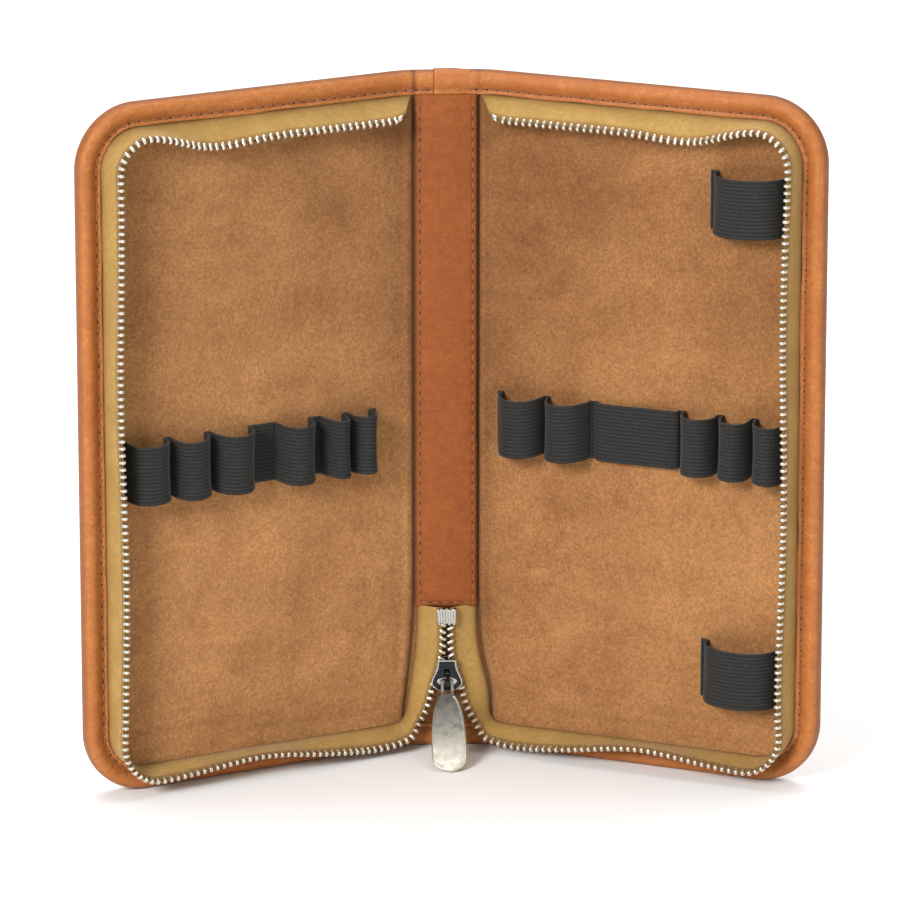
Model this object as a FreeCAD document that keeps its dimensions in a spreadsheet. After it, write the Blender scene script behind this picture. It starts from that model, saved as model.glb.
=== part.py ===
import FreeCAD, Part

import math
import os

import Sketcher
from FreeCAD import Placement, Rotation, Vector

# A zip-around leather case for fountain pens, standing open on its short end.
# Millimetres, +Z up. Each cover is drawn flat beside the spine and turned about
# its crease: u runs outward from the crease, n runs inward from the outer
# leather's inner face, and z runs up.

os.makedirs("parts", exist_ok=True)
doc = FreeCAD.newDocument("fountain_pen_case")

SIZES = [
    ("case_height", 195.0, "height of the case on its short end"),
    ("cover_reach", 100.0, "crease to fore edge of a cover"),
    ("corner_radius", 18.0, "rounded corners at the fore edge"),
    ("crease_offset", 11.3, "spine centre to each crease"),
    ("crease_line_y", 23.747, "crease line in the part's frame"),
    ("open_angle", 25.0, "degrees each cover is turned from flat"),
    ("crease_gap", 0.2, "outer leather stops short of the crease line"),
    ("leather", 1.2, "outer leather thickness"),
    ("board", 1.2, "stiffening board thickness"),
    ("suede", 0.8, "suede lining thickness"),
    ("border", 1.0, "border leather thickness"),
    ("border_width", 6.5, "border flange from the edge"),
    ("border_roll", 1.4, "rolled edge radius of the border"),
    ("board_start", 2.0, "crease to cover board"),
    ("suede_start", 2.6, "crease to cover lining"),
    ("border_start", 3.2, "crease to cover border"),
    ("spine_half_board", 9.1, "half width of spine board and lining"),
    ("spine_half_border", 8.0, "half width of the spine border pieces"),
    ("strip_half", 8.8, "half width of the leather strip on the spine"),
    ("strip_low", 41.0, "lower end of the spine strip"),
    ("strip_high", 187.0, "upper end of the spine strip"),
    ("tape_inset", 6.7, "case edge to outer face of the zip tape"),
    ("tape", 0.6, "zip tape thickness"),
    ("tape_top", 8.9, "n at the tape's free edge"),
    ("tape_start", 4.0, "crease to the upper end of the tape"),
    ("gusset_start", 5.0, "crease to the soft lower stretch of tape"),
    ("gusset_end", 34.0, "end of the soft lower stretch of tape"),
    ("tooth_pitch", 2.0, "zip tooth pitch"),
    ("tooth_long", 1.1, "tooth size along the tape"),
    ("tooth_half", 1.2, "half tooth size across the tape"),
    ("tooth_low", 9.2, "n at the tooth's root"),
    ("tooth_high", 11.0, "n at the tooth's tip"),
    ("bead_half", 0.6, "half thickness of the tape's beaded edge"),
    ("bead_high", 9.7, "n at the top of the bead"),
    ("fore_pitch", 1.9875, "tooth pitch along the fore edge"),
    ("elastic", 0.8, "elastic thickness"),
    ("elastic_width", 16.5, "elastic band width"),
    ("loop_high", 10.9, "n at the top of a pen loop"),
    ("ruler_high", 4.8, "n at the top of the flat ruler loop"),
    ("front_band_z", 92.0, "centre height of the front elastic band"),
    ("back_band_z", 96.0, "centre height of the back elastic band"),
    ("eraser_z", 31.0, "centre height of the eraser loop"),
    ("sharpener_z", 165.0, "centre height of the sharpener loop"),
    ("slider_low", 17.2, "lower end of the zip slider"),
    ("slider_high", 26.5, "upper end of the zip slider"),
    ("wing", 0.8, "slider plate thickness"),
    ("rear_wing_n", 2.3, "n at the back of the slider's rear plate"),
    ("front_wing_n", 6.1, "n at the back of the slider's front plate"),
    ("pull_pivot_n", 7.85, "n of the pull's pivot"),
    ("pull_pivot_z", 20.35, "height of the pull's pivot"),
    ("pull_length", 27.8, "pivot to tip of the pull"),
    ("pull_half", 4.7, "half width of the pull's drop"),
    ("pull_sheet", 0.9, "pull thickness"),
    ("pull_angle", 45.0, "degrees the pull is lifted from hanging"),
]


class Dim:
    """A length that knows both its value and its spreadsheet expression."""

    def __init__(self, value, text=None):
        self.value = float(value)
        self.text = text or f"{self.value:.6g}"

    def __add__(self, other):
        other = dim(other)
        return Dim(self.value + other.value, f"({self.text} + {other.text})")

    def __sub__(self, other):
        other = dim(other)
        return Dim(self.value - other.value, f"({self.text} - {other.text})")

    def __mul__(self, factor):
        return Dim(self.value * factor, f"({self.text} * {factor:.6g})")

    def __neg__(self):
        return self * -1

    __radd__ = __add__
    __rmul__ = __mul__


def dim(value):
    return value if isinstance(value, Dim) else Dim(value)


sheet = doc.addObject("Spreadsheet::Sheet", "sizes")
for row, (alias, value, meaning) in enumerate(SIZES, start=1):
    sheet.set(f"A{row}", meaning)
    sheet.set(f"B{row}", str(value))
    sheet.setAlias(f"B{row}", alias)
doc.recompute()
D = {alias: Dim(value, "sizes." + alias) for alias, value, meaning in SIZES}

PLANES = {"xy": "XY_Plane", "xz": "XZ_Plane", "yz": "YZ_Plane"}
FRONT, BACK = -1, 1
SIDE_NAMES = {FRONT: "front", BACK: "back"}
nodes = []


def bind(obj, prop, value):
    """Drive one property of a document object from the spreadsheet."""
    obj.setExpression(prop, dim(value).text)


def new_node(name):
    body = doc.addObject("PartDesign::Body", name)
    body.Label = name
    nodes.append(body)
    return body


def origin_part(body, role):
    return next(o for o in body.Origin.OriginFeatures if o.Role == role)


def place_on_spine(body):
    body.Placement = Placement(Vector(0, D["crease_line_y"].value, 0), Rotation())
    bind(body, "Placement.Base.y", D["crease_line_y"])


def place_on_cover(body, side):
    """Turn a flat-drawn cover piece about its crease to the open angle."""
    turn = D["open_angle"] * -side
    body.Placement = Placement(
        Vector(side * D["crease_offset"].value, D["crease_line_y"].value, 0),
        Rotation(Vector(0, 0, 1), turn.value),
    )
    bind(body, "Placement.Base.x", D["crease_offset"] * side)
    bind(body, "Placement.Base.y", D["crease_line_y"])
    bind(body, "Placement.Rotation.Yaw", turn)


def arc(point, centre, radius, ccw):
    """A path step that reaches point along an arc."""
    return {"to": point, "centre": centre, "radius": radius, "ccw": ccw}


def draw(body, name, plane, offset, loops, shift=(0, 0)):
    """Sketch closed loops of lines and arcs, each corner driven by the sheet."""
    sketch = body.newObject("Sketcher::SketchObject", name)
    sketch.AttachmentSupport = (origin_part(body, PLANES[plane]), [""])
    sketch.MapMode = "FlatFace"
    sketch.AttachmentOffset = Placement(
        Vector(dim(shift[0]).value, dim(shift[1]).value, dim(offset).value), Rotation()
    )
    for letter, value in zip("xyz", (shift[0], shift[1], offset)):
        bind(sketch, f"AttachmentOffset.Base.{letter}", value)
    for loop in loops:
        draw_loop(sketch, loop)
    return sketch


def draw_loop(sketch, loop):
    steps = [s if isinstance(s, dict) else {"to": s} for s in loop]
    corners = [tuple(dim(c) for c in s["to"]) for s in steps]
    ends = []
    radii = []
    for i, step in enumerate(steps):
        start = Vector(*(c.value for c in corners[i - 1]), 0)
        stop = Vector(*(c.value for c in corners[i]), 0)
        if "radius" not in step:
            ends.append((sketch.addGeometry(Part.LineSegment(start, stop), False), 1, 2))
            continue
        centre = Vector(*(dim(c).value for c in step["centre"]), 0)
        first, last = (start, stop) if step["ccw"] else (stop, start)
        angles = [math.atan2(p.y - centre.y, p.x - centre.x) for p in (first, last)]
        if angles[1] < angles[0]:
            angles[1] += 2 * math.pi
        circle = Part.Circle(centre, Vector(0, 0, 1), dim(step["radius"]).value)
        index = sketch.addGeometry(Part.ArcOfCircle(circle, *angles), False)
        ends.append((index, 1, 2) if step["ccw"] else (index, 2, 1))
        radii.append((index, step["radius"]))
    for i, (index, start, stop) in enumerate(ends):
        before = ends[i - 1]
        sketch.addConstraint(Sketcher.Constraint("Coincident", before[0], before[2], index, start))
        for kind, value in zip(("DistanceX", "DistanceY"), corners[i]):
            constrain(sketch, Sketcher.Constraint(kind, -1, 1, index, stop, value.value), value)
    for index, radius in radii:
        constrain(sketch, Sketcher.Constraint("Radius", index, dim(radius).value), radius)


def constrain(sketch, constraint, value):
    number = sketch.addConstraint(constraint)
    bind(sketch, f"Constraints[{number}]", value)


def pad(body, name, sketch, length, both_ways=False):
    feature = body.newObject("PartDesign::Pad", name)
    feature.Profile = sketch
    if both_ways:
        feature.SideType = "Symmetric"
    feature.Length = dim(length).value
    bind(feature, "Length", length)
    return feature


def pocket(body, name, sketch, length):
    feature = body.newObject("PartDesign::Pocket", name)
    feature.Profile = sketch
    feature.Length = dim(length).value
    bind(feature, "Length", length)
    return feature


def row_pattern(body, name, feature, axis, backwards, pitch, count):
    pattern = body.newObject("PartDesign::LinearPattern", name)
    pattern.Originals = [feature]
    pattern.Direction = (origin_part(body, axis), [""])
    pattern.Reversed = backwards
    pattern.Occurrences = count
    bind(pattern, "Length", pitch * (count - 1))
    body.Tip = pattern
    return pattern


def box_loop(x0, x1, y0, y1):
    return [(x0, y0), (x1, y0), (x1, y1), (x0, y1)]


def slab(body, name, x0, x1, z0, z1, n0, thick):
    """A rectangular layer lying parallel to the cover or spine."""
    return pad(body, name, draw(body, name + "_sketch", "xz", n0, [box_loop(x0, x1, z0, z1)]), thick)


def cover_loop(side, start, inset):
    """The outline of a cover, drawn inset from its edge."""
    reach, high, corner = D["cover_reach"], D["case_height"], D["corner_radius"]
    inset = dim(inset)
    radius = corner - inset
    turn = side == BACK
    centre_u = (reach - corner) * side
    low_centre = (centre_u, corner)
    top_centre = (centre_u, high - corner)
    return [
        (dim(start) * side, inset),
        (centre_u, inset),
        arc(((reach - inset) * side, corner), low_centre, radius, turn),
        ((reach - inset) * side, high - corner),
        arc((centre_u, high - inset), top_centre, radius, turn),
        (dim(start) * side, high - inset),
    ]


def cover_layer(name, side, start, inset, n0, thick):
    body = new_node(name)
    sketch = draw(body, name + "_outline", "xz", n0, [cover_loop(side, start, inset)])
    pad(body, name + "_layer", sketch, thick)
    place_on_cover(body, side)
    return body


def spine_layer(name, half, z0, z1, n0, thick):
    body = new_node(name)
    slab(body, name + "_layer", -half, half, z0, z1, n0, thick)
    place_on_spine(body)
    return body


def rim_wall(body, name, side, start, inset, thick, n0, rise):
    """A wall that follows the cover's outline at a fixed inset."""
    outer = draw(body, name + "_outer", "xz", n0, [cover_loop(side, start, inset)])
    pad(body, name + "_wall", outer, rise)
    top = dim(n0) + rise
    inner = draw(body, name + "_inner", "xz", top, [cover_loop(side, dim(start) - 2, inset + thick)])
    return pocket(body, name + "_hollow", inner, rise)


def clear_bottom(body, name, side, until, n0, rise):
    """Open the wall's lower run between the crease and a point along it."""
    loop = box_loop(D["crease_gap"] * side, dim(until) * side, 0, D["corner_radius"])
    sketch = draw(body, name + "_end", "xz", dim(n0) + rise, [loop])
    pocket(body, name + "_opening", sketch, rise)


def border_edges(shape, side):
    """The outer edges of the border, where the leather rolls over."""
    reach, high = D["cover_reach"].value, D["case_height"].value
    corner = D["corner_radius"].value
    faces_n = (-(D["leather"] + D["border"]).value, border_top.value)
    names = []
    for index, edge in enumerate(shape.Edges, start=1):
        middle = edge.valueAt((edge.FirstParameter + edge.LastParameter) / 2)
        flat = edge.BoundBox.YLength < 1e-6
        if not flat or min(abs(-middle.y - n) for n in faces_n) > 1e-6:
            continue
        u, z = middle.x * side, middle.z
        up = max(corner - z, z - (high - corner), 0)
        out = max(u - (reach - corner), 0)
        rim = math.hypot(up, out) if up and out else max(up, out)
        if abs(rim - corner) < 1e-4:
            names.append(f"Edge{index}")
    return names


layers = D["board"] + D["suede"]
border_top = layers + D["border"]
border_rise = border_top + D["leather"] + D["border"]
border_low = -(D["leather"] + D["border"])


def cover_border(name, side):
    """Leather folded over the cover's edge, from outer face to inner face."""
    body = new_node(name)
    start, width = D["border_start"], D["border_width"]
    rim_wall(body, name, side, start, 0, width, border_low, border_rise)
    groove = draw(body, name + "_groove", "xz", layers, [cover_loop(side, start - 2, D["border"])])
    last = pocket(body, name + "_fold", groove, layers + D["leather"])
    doc.recompute()
    roll = body.newObject("PartDesign::Fillet", name + "_roll")
    roll.Base = (last, border_edges(last.Shape, side))
    bind(roll, "Radius", D["border_roll"])
    place_on_cover(body, side)
    return body


def spine_border(name, at_top):
    """The same folded border where it crosses the end of the spine."""
    body = new_node(name)
    roll, skin, width = D["border_roll"], D["border"], D["border_width"]
    low, high = border_low, border_top
    edge = D["case_height"] if at_top else Dim(0)

    def point(n, from_edge):
        return (-dim(n), edge - from_edge if at_top else edge + from_edge)

    loop = [
        point(low + roll, 0),
        point(high - roll, 0),
        arc(point(high, roll), point(high - roll, roll), roll, at_top),
        point(high, width),
        point(layers, width),
        point(layers, skin),
        point(-D["leather"], skin),
        point(-D["leather"], width),
        point(low, width),
        point(low, roll),
    ]
    loop[0] = arc(point(low + roll, 0), point(low + roll, roll), roll, at_top)
    sketch = draw(body, name + "_section", "yz", 0, [loop])
    pad(body, name + "_fold", sketch, D["spine_half_border"] * 2, both_ways=True)
    place_on_spine(body)
    return body


def tooth_row(body, name, axis, first, backwards, pitch, count):
    """One tooth on the tape's edge, repeated along a straight run."""
    long_half = D["tooth_long"] * 0.5
    across = D["tooth_half"]
    centre_x, centre_z = first
    if axis == "X_Axis":
        loop = box_loop(centre_x - long_half, centre_x + long_half, centre_z - across, centre_z + across)
    else:
        loop = box_loop(centre_x - across, centre_x + across, centre_z - long_half, centre_z + long_half)
    sketch = draw(body, name + "_tooth", "xz", D["tooth_low"], [loop])
    tooth = pad(body, name + "_pad", sketch, D["tooth_high"] - D["tooth_low"])
    return row_pattern(body, name + "_row", tooth, axis, backwards, pitch, count)


def tooth_corner(body, name, side, at_top):
    """Eight teeth round one rounded corner."""
    corner, high = D["corner_radius"], D["case_height"]
    centre = ((D["cover_reach"] - corner) * side, high - corner if at_top else corner)
    long_half = D["tooth_long"] * 0.5
    radius = corner - tape_middle
    near, far = radius - D["tooth_half"], radius + D["tooth_half"]
    if at_top:
        loop = box_loop(near * side, far * side, -long_half, long_half)
    else:
        loop = box_loop(-long_half, long_half, -far, -near)
    sketch = draw(body, name + "_tooth", "xz", D["tooth_low"], [loop], shift=centre)
    tooth = pad(body, name + "_pad", sketch, D["tooth_high"] - D["tooth_low"])
    pattern = body.newObject("PartDesign::PolarPattern", name + "_fan")
    pattern.Originals = [tooth]
    pattern.Axis = (sketch, ["N_Axis"])
    pattern.Angle = 78.75
    pattern.Occurrences = 8
    pattern.Reversed = side == FRONT
    body.Tip = pattern


tape_middle = D["tape_inset"] + D["tape"] * 0.5
bead_inset = tape_middle - D["bead_half"]
bead_rise = D["bead_high"] - D["tape_top"]
tape_rise = D["tape_top"] - layers


def cover_zip(side):
    """Tape, teeth and top stop that stand round the rim of one cover."""
    word = SIDE_NAMES[side]
    reach, high, corner = D["cover_reach"], D["case_height"], D["corner_radius"]
    start, soft_end, pitch = D["tape_start"], D["gusset_end"], D["tooth_pitch"]

    tape = new_node(word + "_zip_tape")
    rim_wall(tape, tape.Label, side, start, D["tape_inset"], D["tape"], layers, tape_rise)
    clear_bottom(tape, tape.Label, side, soft_end, layers, tape_rise)
    place_on_cover(tape, side)

    teeth = new_node(word + "_zip_teeth")
    rim_wall(teeth, teeth.Label, side, start + 3, bead_inset, D["bead_half"] * 2, D["tape_top"], bead_rise)
    clear_bottom(teeth, teeth.Label, side, soft_end, D["tape_top"], bead_rise)
    centre_u = (reach - corner) * side
    low_first = (centre_u - pitch * side, tape_middle)
    tooth_row(teeth, word + "_low", "X_Axis", low_first, side == BACK, pitch, 23)
    fore_first = ((reach - tape_middle) * side, corner)
    tooth_row(teeth, word + "_fore", "Z_Axis", fore_first, False, D["fore_pitch"], 80)
    top_first = (centre_u, high - tape_middle)
    tooth_row(teeth, word + "_top", "X_Axis", top_first, side == BACK, pitch, 38)
    tooth_corner(teeth, word + "_low_corner", side, False)
    tooth_corner(teeth, word + "_top_corner", side, True)
    place_on_cover(teeth, side)

    stop = new_node(word + "_top_stop")
    top_z = high - tape_middle
    slab(
        stop, stop.Label + "_clamp", (start + 0.3) * side, (start + 2.7) * side,
        top_z - D["tooth_half"], top_z + D["tooth_half"], D["tape_top"], 1.9,
    )
    place_on_cover(stop, side)

    gusset = new_node(word + "_zip_gusset")
    slab(
        gusset, gusset.Label + "_wall", D["gusset_start"] * side, (soft_end - 0.1) * side,
        D["tape_inset"], D["tape_inset"] + D["tape"], layers, tape_rise,
    )
    place_on_cover(gusset, side)

    soft_teeth = new_node(word + "_gusset_teeth")
    slab(
        soft_teeth, soft_teeth.Label + "_bead", (D["gusset_start"] + 1) * side, (soft_end - 0.1) * side,
        bead_inset, bead_inset + D["bead_half"] * 2, D["tape_top"], bead_rise,
    )
    soft_first = ((soft_end - 1) * side, tape_middle)
    tooth_row(soft_teeth, word + "_soft", "X_Axis", soft_first, side == BACK, pitch, 14)
    place_on_cover(soft_teeth, side)


# Elastic loops: foot start, wall, wall, foot end along u; top and centre height.
LOOPS = {
    FRONT: [
        ("front_pen_loop_1", 74.6, 74.9, 87.3, 89.0, "loop_high", "front_band_z"),
        ("front_pen_loop_2", 62.4, 62.7, 74.2, 74.5, "loop_high", "front_band_z"),
        ("front_pen_loop_3", 48.9, 49.2, 62.0, 62.3, "loop_high", "front_band_z"),
        ("front_pen_loop_4", 30.3, 30.8, 42.0, 48.8, "loop_high", "front_band_z"),
        ("front_pen_loop_5", 20.2, 20.4, 28.1, 30.2, "loop_high", "front_band_z"),
        ("front_pen_loop_6", 10.6, 12.1, 19.8, 20.1, "loop_high", "front_band_z"),
    ],
    BACK: [
        ("back_pen_loop_1", 4.6, 5.6, 18.9, 19.1, "loop_high", "back_band_z"),
        ("back_pen_loop_2", 19.2, 19.4, 32.4, 33.0, "loop_high", "back_band_z"),
        ("ruler_loop", 33.1, 33.8, 58.8, 59.3, "ruler_high", "back_band_z"),
        ("refill_loop_1", 59.4, 59.8, 70.2, 70.5, "loop_high", "back_band_z"),
        ("refill_loop_2", 70.6, 70.9, 80.2, 80.5, "loop_high", "back_band_z"),
        ("refill_loop_3", 80.6, 80.9, 90.2, 91.6, "loop_high", "back_band_z"),
        ("eraser_loop", 65.6, 67.1, 89.1, 90.6, "loop_high", "eraser_z"),
        ("sharpener_loop", 67.1, 68.6, 89.6, 91.1, "loop_high", "sharpener_z"),
    ],
}


def elastic_loop(side, name, foot0, wall0, wall1, foot1, top, band_z):
    """A band of elastic sewn flat at both feet and arched between them."""
    body = new_node(name)
    top = D[top]
    skin = D["elastic"]
    flat = top.value - layers.value < 4
    bend = 1.0 if flat else min(4.6, 0.38 * (wall1 - wall0))
    inner = Dim(bend) - skin if bend > skin.value else Dim(0.1)
    bend = inner + skin
    floor, foot = layers, layers + skin
    in0, in1 = dim(wall0) + skin, dim(wall1) - skin
    wall0, wall1 = dim(wall0), dim(wall1)

    def at(u, n):
        return (dim(u) * side, -dim(n))

    over = side == BACK
    loop = [
        at(foot0, floor),
        at(in0, floor),
        at(in0, top - bend),
        arc(at(in0 + inner, top - skin), at(in0 + inner, top - bend), inner, over),
        at(in1 - inner, top - skin),
        arc(at(in1, top - bend), at(in1 - inner, top - bend), inner, over),
        at(in1, floor),
        at(foot1, floor),
        at(foot1, foot),
        at(wall1, foot),
        at(wall1, top - bend),
        arc(at(wall1 - bend, top), at(wall1 - bend, top - bend), bend, not over),
        at(wall0 + bend, top),
        arc(at(wall0, top - bend), at(wall0 + bend, top - bend), bend, not over),
        at(wall0, foot),
        at(foot0, foot),
    ]
    low = D[band_z] - D["elastic_width"] * 0.5
    sketch = draw(body, name + "_section", "xy", low, [loop])
    pad(body, name + "_band", sketch, D["elastic_width"])
    place_on_cover(body, side)
    return body


def zip_tail():
    """The closed end of the zip, fixed along the lower part of the spine."""
    tail_low, tail_high = 8.5, 40.8
    for side in (FRONT, BACK):
        tape = new_node(f"zip_tail_tape_{SIDE_NAMES[side]}")
        section = [(8.6, 2.0), (2.7, 3.86), (2.7, 4.46), (8.6, 2.6)]
        loop = [(side * x, -n) for x, n in section]
        pad(tape, tape.Label + "_slope", draw(tape, tape.Label + "_section", "xy", tail_low, [loop]),
            tail_high - tail_low)
        notch = box_loop(side * 2.0, side * 3.4, 36.2, 42.0)
        pocket(tape, tape.Label + "_notch", draw(tape, tape.Label + "_cut", "xz", 6.0, [notch]), 5.0)
        place_on_spine(tape)

        branch = new_node(f"zip_branch_teeth_{SIDE_NAMES[side]}")
        start, stop = Vector(3.5, 19.4, 0), Vector(7.3, 9.7, 0)
        run = stop - start
        along = Vector(run).normalize()
        across = Vector(-along.y, along.x, 0)
        pieces = [bar_loop(side, start, along, across, run.Length, 0.45)]
        pad(branch, branch.Label + "_bead", draw(branch, branch.Label + "_line", "xz", 4.6, pieces), 0.9)
        teeth = [
            bar_loop(side, start + along * (0.1 + 2.0 * k), along, across, 1.1, 1.0) for k in range(5)
        ]
        pad(branch, branch.Label + "_teeth", draw(branch, branch.Label + "_row", "xz", 4.6, teeth), 1.2)
        place_on_spine(branch)

    chain = new_node("zip_chain_tail")
    slab(chain, "chain_bead", -1.0, 1.0, 20.4, 36.0, 4.0, 1.2)
    for side in (FRONT, BACK):
        word = SIDE_NAMES[side]
        low = 20.5 if side == FRONT else 21.5
        loop = box_loop(side * -0.4, side * 2.6, low, low + 0.9)
        tooth = pad(chain, word + "_link", draw(chain, word + "_link_sketch", "xz", 3.5, [loop]), 2.2)
        count = 8 if side == FRONT else 7
        row_pattern(chain, word + "_links", tooth, "Z_Axis", False, D["tooth_pitch"], count)
    place_on_spine(chain)

    retainer = new_node("zip_retainer")
    slab(retainer, "retainer_block", -3.0, 3.0, 36.5, 40.5, 2.0, 4.2)
    grooves = [box_loop(x - 0.35, x + 0.35, 36.0, 41.0) for x in (-1.6, 0.0, 1.6)]
    pocket(retainer, "retainer_ribs", draw(retainer, "retainer_grooves", "xz", 6.2, grooves), 0.5)
    place_on_spine(retainer)


def bar_loop(side, start, along, across, length, half):
    """A slanted rectangle that begins at start and runs along a direction."""
    corners = [
        start + across * half,
        start - across * half,
        start - across * half + along * length,
        start + across * half + along * length,
    ]
    return [(side * p.x, p.y) for p in corners]


def slider():
    """Slider: two plates joined by a post at the mouth, and the pull's bridge."""
    body = new_node("slider_body")
    low, high = D["slider_low"], D["slider_high"]
    half = [
        (3.4, low),
        (4.2, low + 1.0),
        (4.2, low + 3.8),
        (3.2, high - 2.0),
        (2.5, high),
    ]
    plate = half + [(-x, z) for x, z in reversed(half)]
    pad(body, "rear_plate", draw(body, "rear_outline", "xz", D["rear_wing_n"], [plate]), D["wing"])
    post = box_loop(-0.9, 0.9, low + 0.2, low + 2.6)
    rise = D["front_wing_n"] + D["wing"] - D["rear_wing_n"]
    pad(body, "mouth_post", draw(body, "post_outline", "xz", D["rear_wing_n"], [post]), rise)
    pad(body, "front_plate", draw(body, "front_outline", "xz", D["front_wing_n"], [plate]), D["wing"])
    face = D["front_wing_n"] + D["wing"] * 0.5
    bridge = [
        (-face, low + 1.2),
        (Dim(-9.0), low + 1.2),
        (Dim(-9.8), low + 2.0),
        (Dim(-9.8), high - 1.9),
        (Dim(-8.8), high - 0.5),
        (-face, high - 0.5),
        (-face, high - 1.7),
        (Dim(-8.8), high - 1.7),
        (Dim(-8.8), low + 2.2),
        (-face, low + 2.2),
    ]
    pad(body, "bridge", draw(body, "bridge_side", "yz", 0, [bridge]), 1.2, both_ways=True)
    place_on_spine(body)


def pull():
    """Flat drop-shaped pull with a narrow eye that hangs on the bridge."""
    body = new_node("pull_tab")
    half, length, sheet_half = D["pull_half"], D["pull_length"], D["pull_sheet"] * 0.5
    neck = 1.65
    round_z = half - length
    outline = [
        (-neck, sheet_half),
        (-neck, -6.6),
        (-3.3, -9.8),
        (-half, -18.4),
        (-half, round_z),
        arc((0, -length), (0, round_z), half, True),
        arc((half, round_z), (0, round_z), half, True),
        (half, -18.4),
        (3.3, -9.8),
        (neck, -6.6),
        (neck, sheet_half),
    ]
    pad(body, "pull_plate", draw(body, "pull_outline", "xz", -sheet_half, [outline]), D["pull_sheet"])
    eye = box_loop(-0.95, 0.95, -6.2, -sheet_half)
    pocket(body, "pull_eye", draw(body, "eye_outline", "xz", sheet_half, [eye]), D["pull_sheet"])
    body.Placement = Placement(
        Vector(0, (D["crease_line_y"] - D["pull_pivot_n"]).value, D["pull_pivot_z"].value),
        Rotation(Vector(1, 0, 0), -D["pull_angle"].value),
    )
    bind(body, "Placement.Base.y", D["crease_line_y"] - D["pull_pivot_n"])
    bind(body, "Placement.Base.z", D["pull_pivot_z"])
    bind(body, "Placement.Rotation.Roll", -D["pull_angle"])


edge, high = D["border"], D["case_height"]
inside_top = high - edge
spine_half = D["crease_offset"] - D["crease_gap"]
spine_layer("spine_leather", spine_half, edge, inside_top, -D["leather"], D["leather"])
spine_layer("spine_board", D["spine_half_board"], edge, inside_top, 0, D["board"])
spine_layer("spine_lining", D["spine_half_board"], edge, inside_top, D["board"], D["suede"])
spine_layer("spine_strip", D["strip_half"], D["strip_low"], D["strip_high"], layers, 1.2)
spine_border("spine_border_top", True)
spine_border("spine_border_bottom", False)
zip_tail()
slider()
pull()

for side in (FRONT, BACK):
    word = SIDE_NAMES[side]
    cover_layer(word + "_cover_leather", side, D["crease_gap"], edge, -D["leather"], D["leather"])
    cover_layer(word + "_cover_board", side, D["board_start"], edge, 0, D["board"])
    cover_layer(word + "_cover_lining", side, D["suede_start"], edge, D["board"], D["suede"])
    cover_border(word + "_cover_border", side)
    cover_zip(side)
    for loop in LOOPS[side]:
        elastic_loop(side, *loop)

doc.recompute()

faults = [o.Name for o in doc.Objects if "Invalid" in o.State or "Error" in o.State]
for body in nodes:
    if body.Shape.isNull() or not body.Shape.isValid() or len(body.Shape.Solids) != 1:
        faults.append(f"{body.Label}: {len(body.Shape.Solids)} solids")
if faults:
    raise RuntimeError("these pieces need mending: " + ", ".join(faults))

whole = FreeCAD.BoundBox()
for body in nodes:
    whole.add(body.Shape.BoundBox)
    body.Shape.exportStep(f"parts/{body.Label}.step")
print(f"{len(nodes)} pieces, overall {whole}")
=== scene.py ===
import math

import bmesh
import bpy
import numpy as np
from mathutils import Matrix, Vector


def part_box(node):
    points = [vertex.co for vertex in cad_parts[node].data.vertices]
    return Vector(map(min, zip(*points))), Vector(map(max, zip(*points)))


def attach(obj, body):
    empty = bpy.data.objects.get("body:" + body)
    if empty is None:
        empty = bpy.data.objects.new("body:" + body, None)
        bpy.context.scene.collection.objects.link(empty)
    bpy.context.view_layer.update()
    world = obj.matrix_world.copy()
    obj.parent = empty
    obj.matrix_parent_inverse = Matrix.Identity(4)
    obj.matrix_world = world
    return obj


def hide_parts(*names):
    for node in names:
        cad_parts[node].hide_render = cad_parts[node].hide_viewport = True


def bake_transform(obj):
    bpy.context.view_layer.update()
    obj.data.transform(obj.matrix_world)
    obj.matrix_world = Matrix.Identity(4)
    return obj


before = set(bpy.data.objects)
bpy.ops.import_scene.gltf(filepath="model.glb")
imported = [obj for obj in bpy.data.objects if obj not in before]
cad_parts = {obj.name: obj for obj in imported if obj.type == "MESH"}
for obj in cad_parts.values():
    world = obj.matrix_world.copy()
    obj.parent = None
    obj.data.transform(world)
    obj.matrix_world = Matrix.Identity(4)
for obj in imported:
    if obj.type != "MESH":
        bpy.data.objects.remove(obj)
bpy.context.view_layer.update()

# A zipped leather pen case that stands open on its short end.
#
# Lengths are in millimetres until a mesh is made. A cover is described flat:
# s runs outward from the spine's centre over its crease, n inward from the
# outer leather's inner face, and z up.
MM = 0.001
FRONT, BACK = -1, 1
SIDES = ((FRONT, "front"), (BACK, "back"))
SPINE_LOW, SPINE_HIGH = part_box("spine_leather")
CREASE_Y = SPINE_LOW.y / MM
CREASE = SPINE_HIGH.x / MM + 0.2
CREASE_BEND = 3.5
OPEN = math.radians(25.0)
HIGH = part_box("front_cover_border")[1].z / MM
REACH = 100.0
EDGE = CREASE + REACH
CORNER = 18.0
LINING_TOP = 2.0
TOOTH_PITCH = 2.0


def ramp(x, start, length):
    """A smooth step: 0 up to start, and 1 from a length beyond it."""
    t = np.clip((x - start) / length, 0.0, 1.0)
    return t * t * (3.0 - 2.0 * t)


def bell(x, width):
    """A smooth bump: 1 where x is 0, and near 0 two widths away."""
    return np.exp(-((x / width) ** 2))


def unit(v):
    """Vectors along the last axis, scaled to length 1."""
    return v / np.linalg.norm(v, axis=-1, keepdims=True)


def distance_along(points):
    """How far each point lies along the line through all of them."""
    gaps = np.linalg.norm(np.diff(points, axis=0), axis=1)
    return np.concatenate([[0], np.cumsum(gaps)])


def sample(at, along, rows):
    """Rows of numbers, read between their places along a line."""
    return np.stack([np.interp(at, along, column) for column in rows.T], -1)


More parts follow.
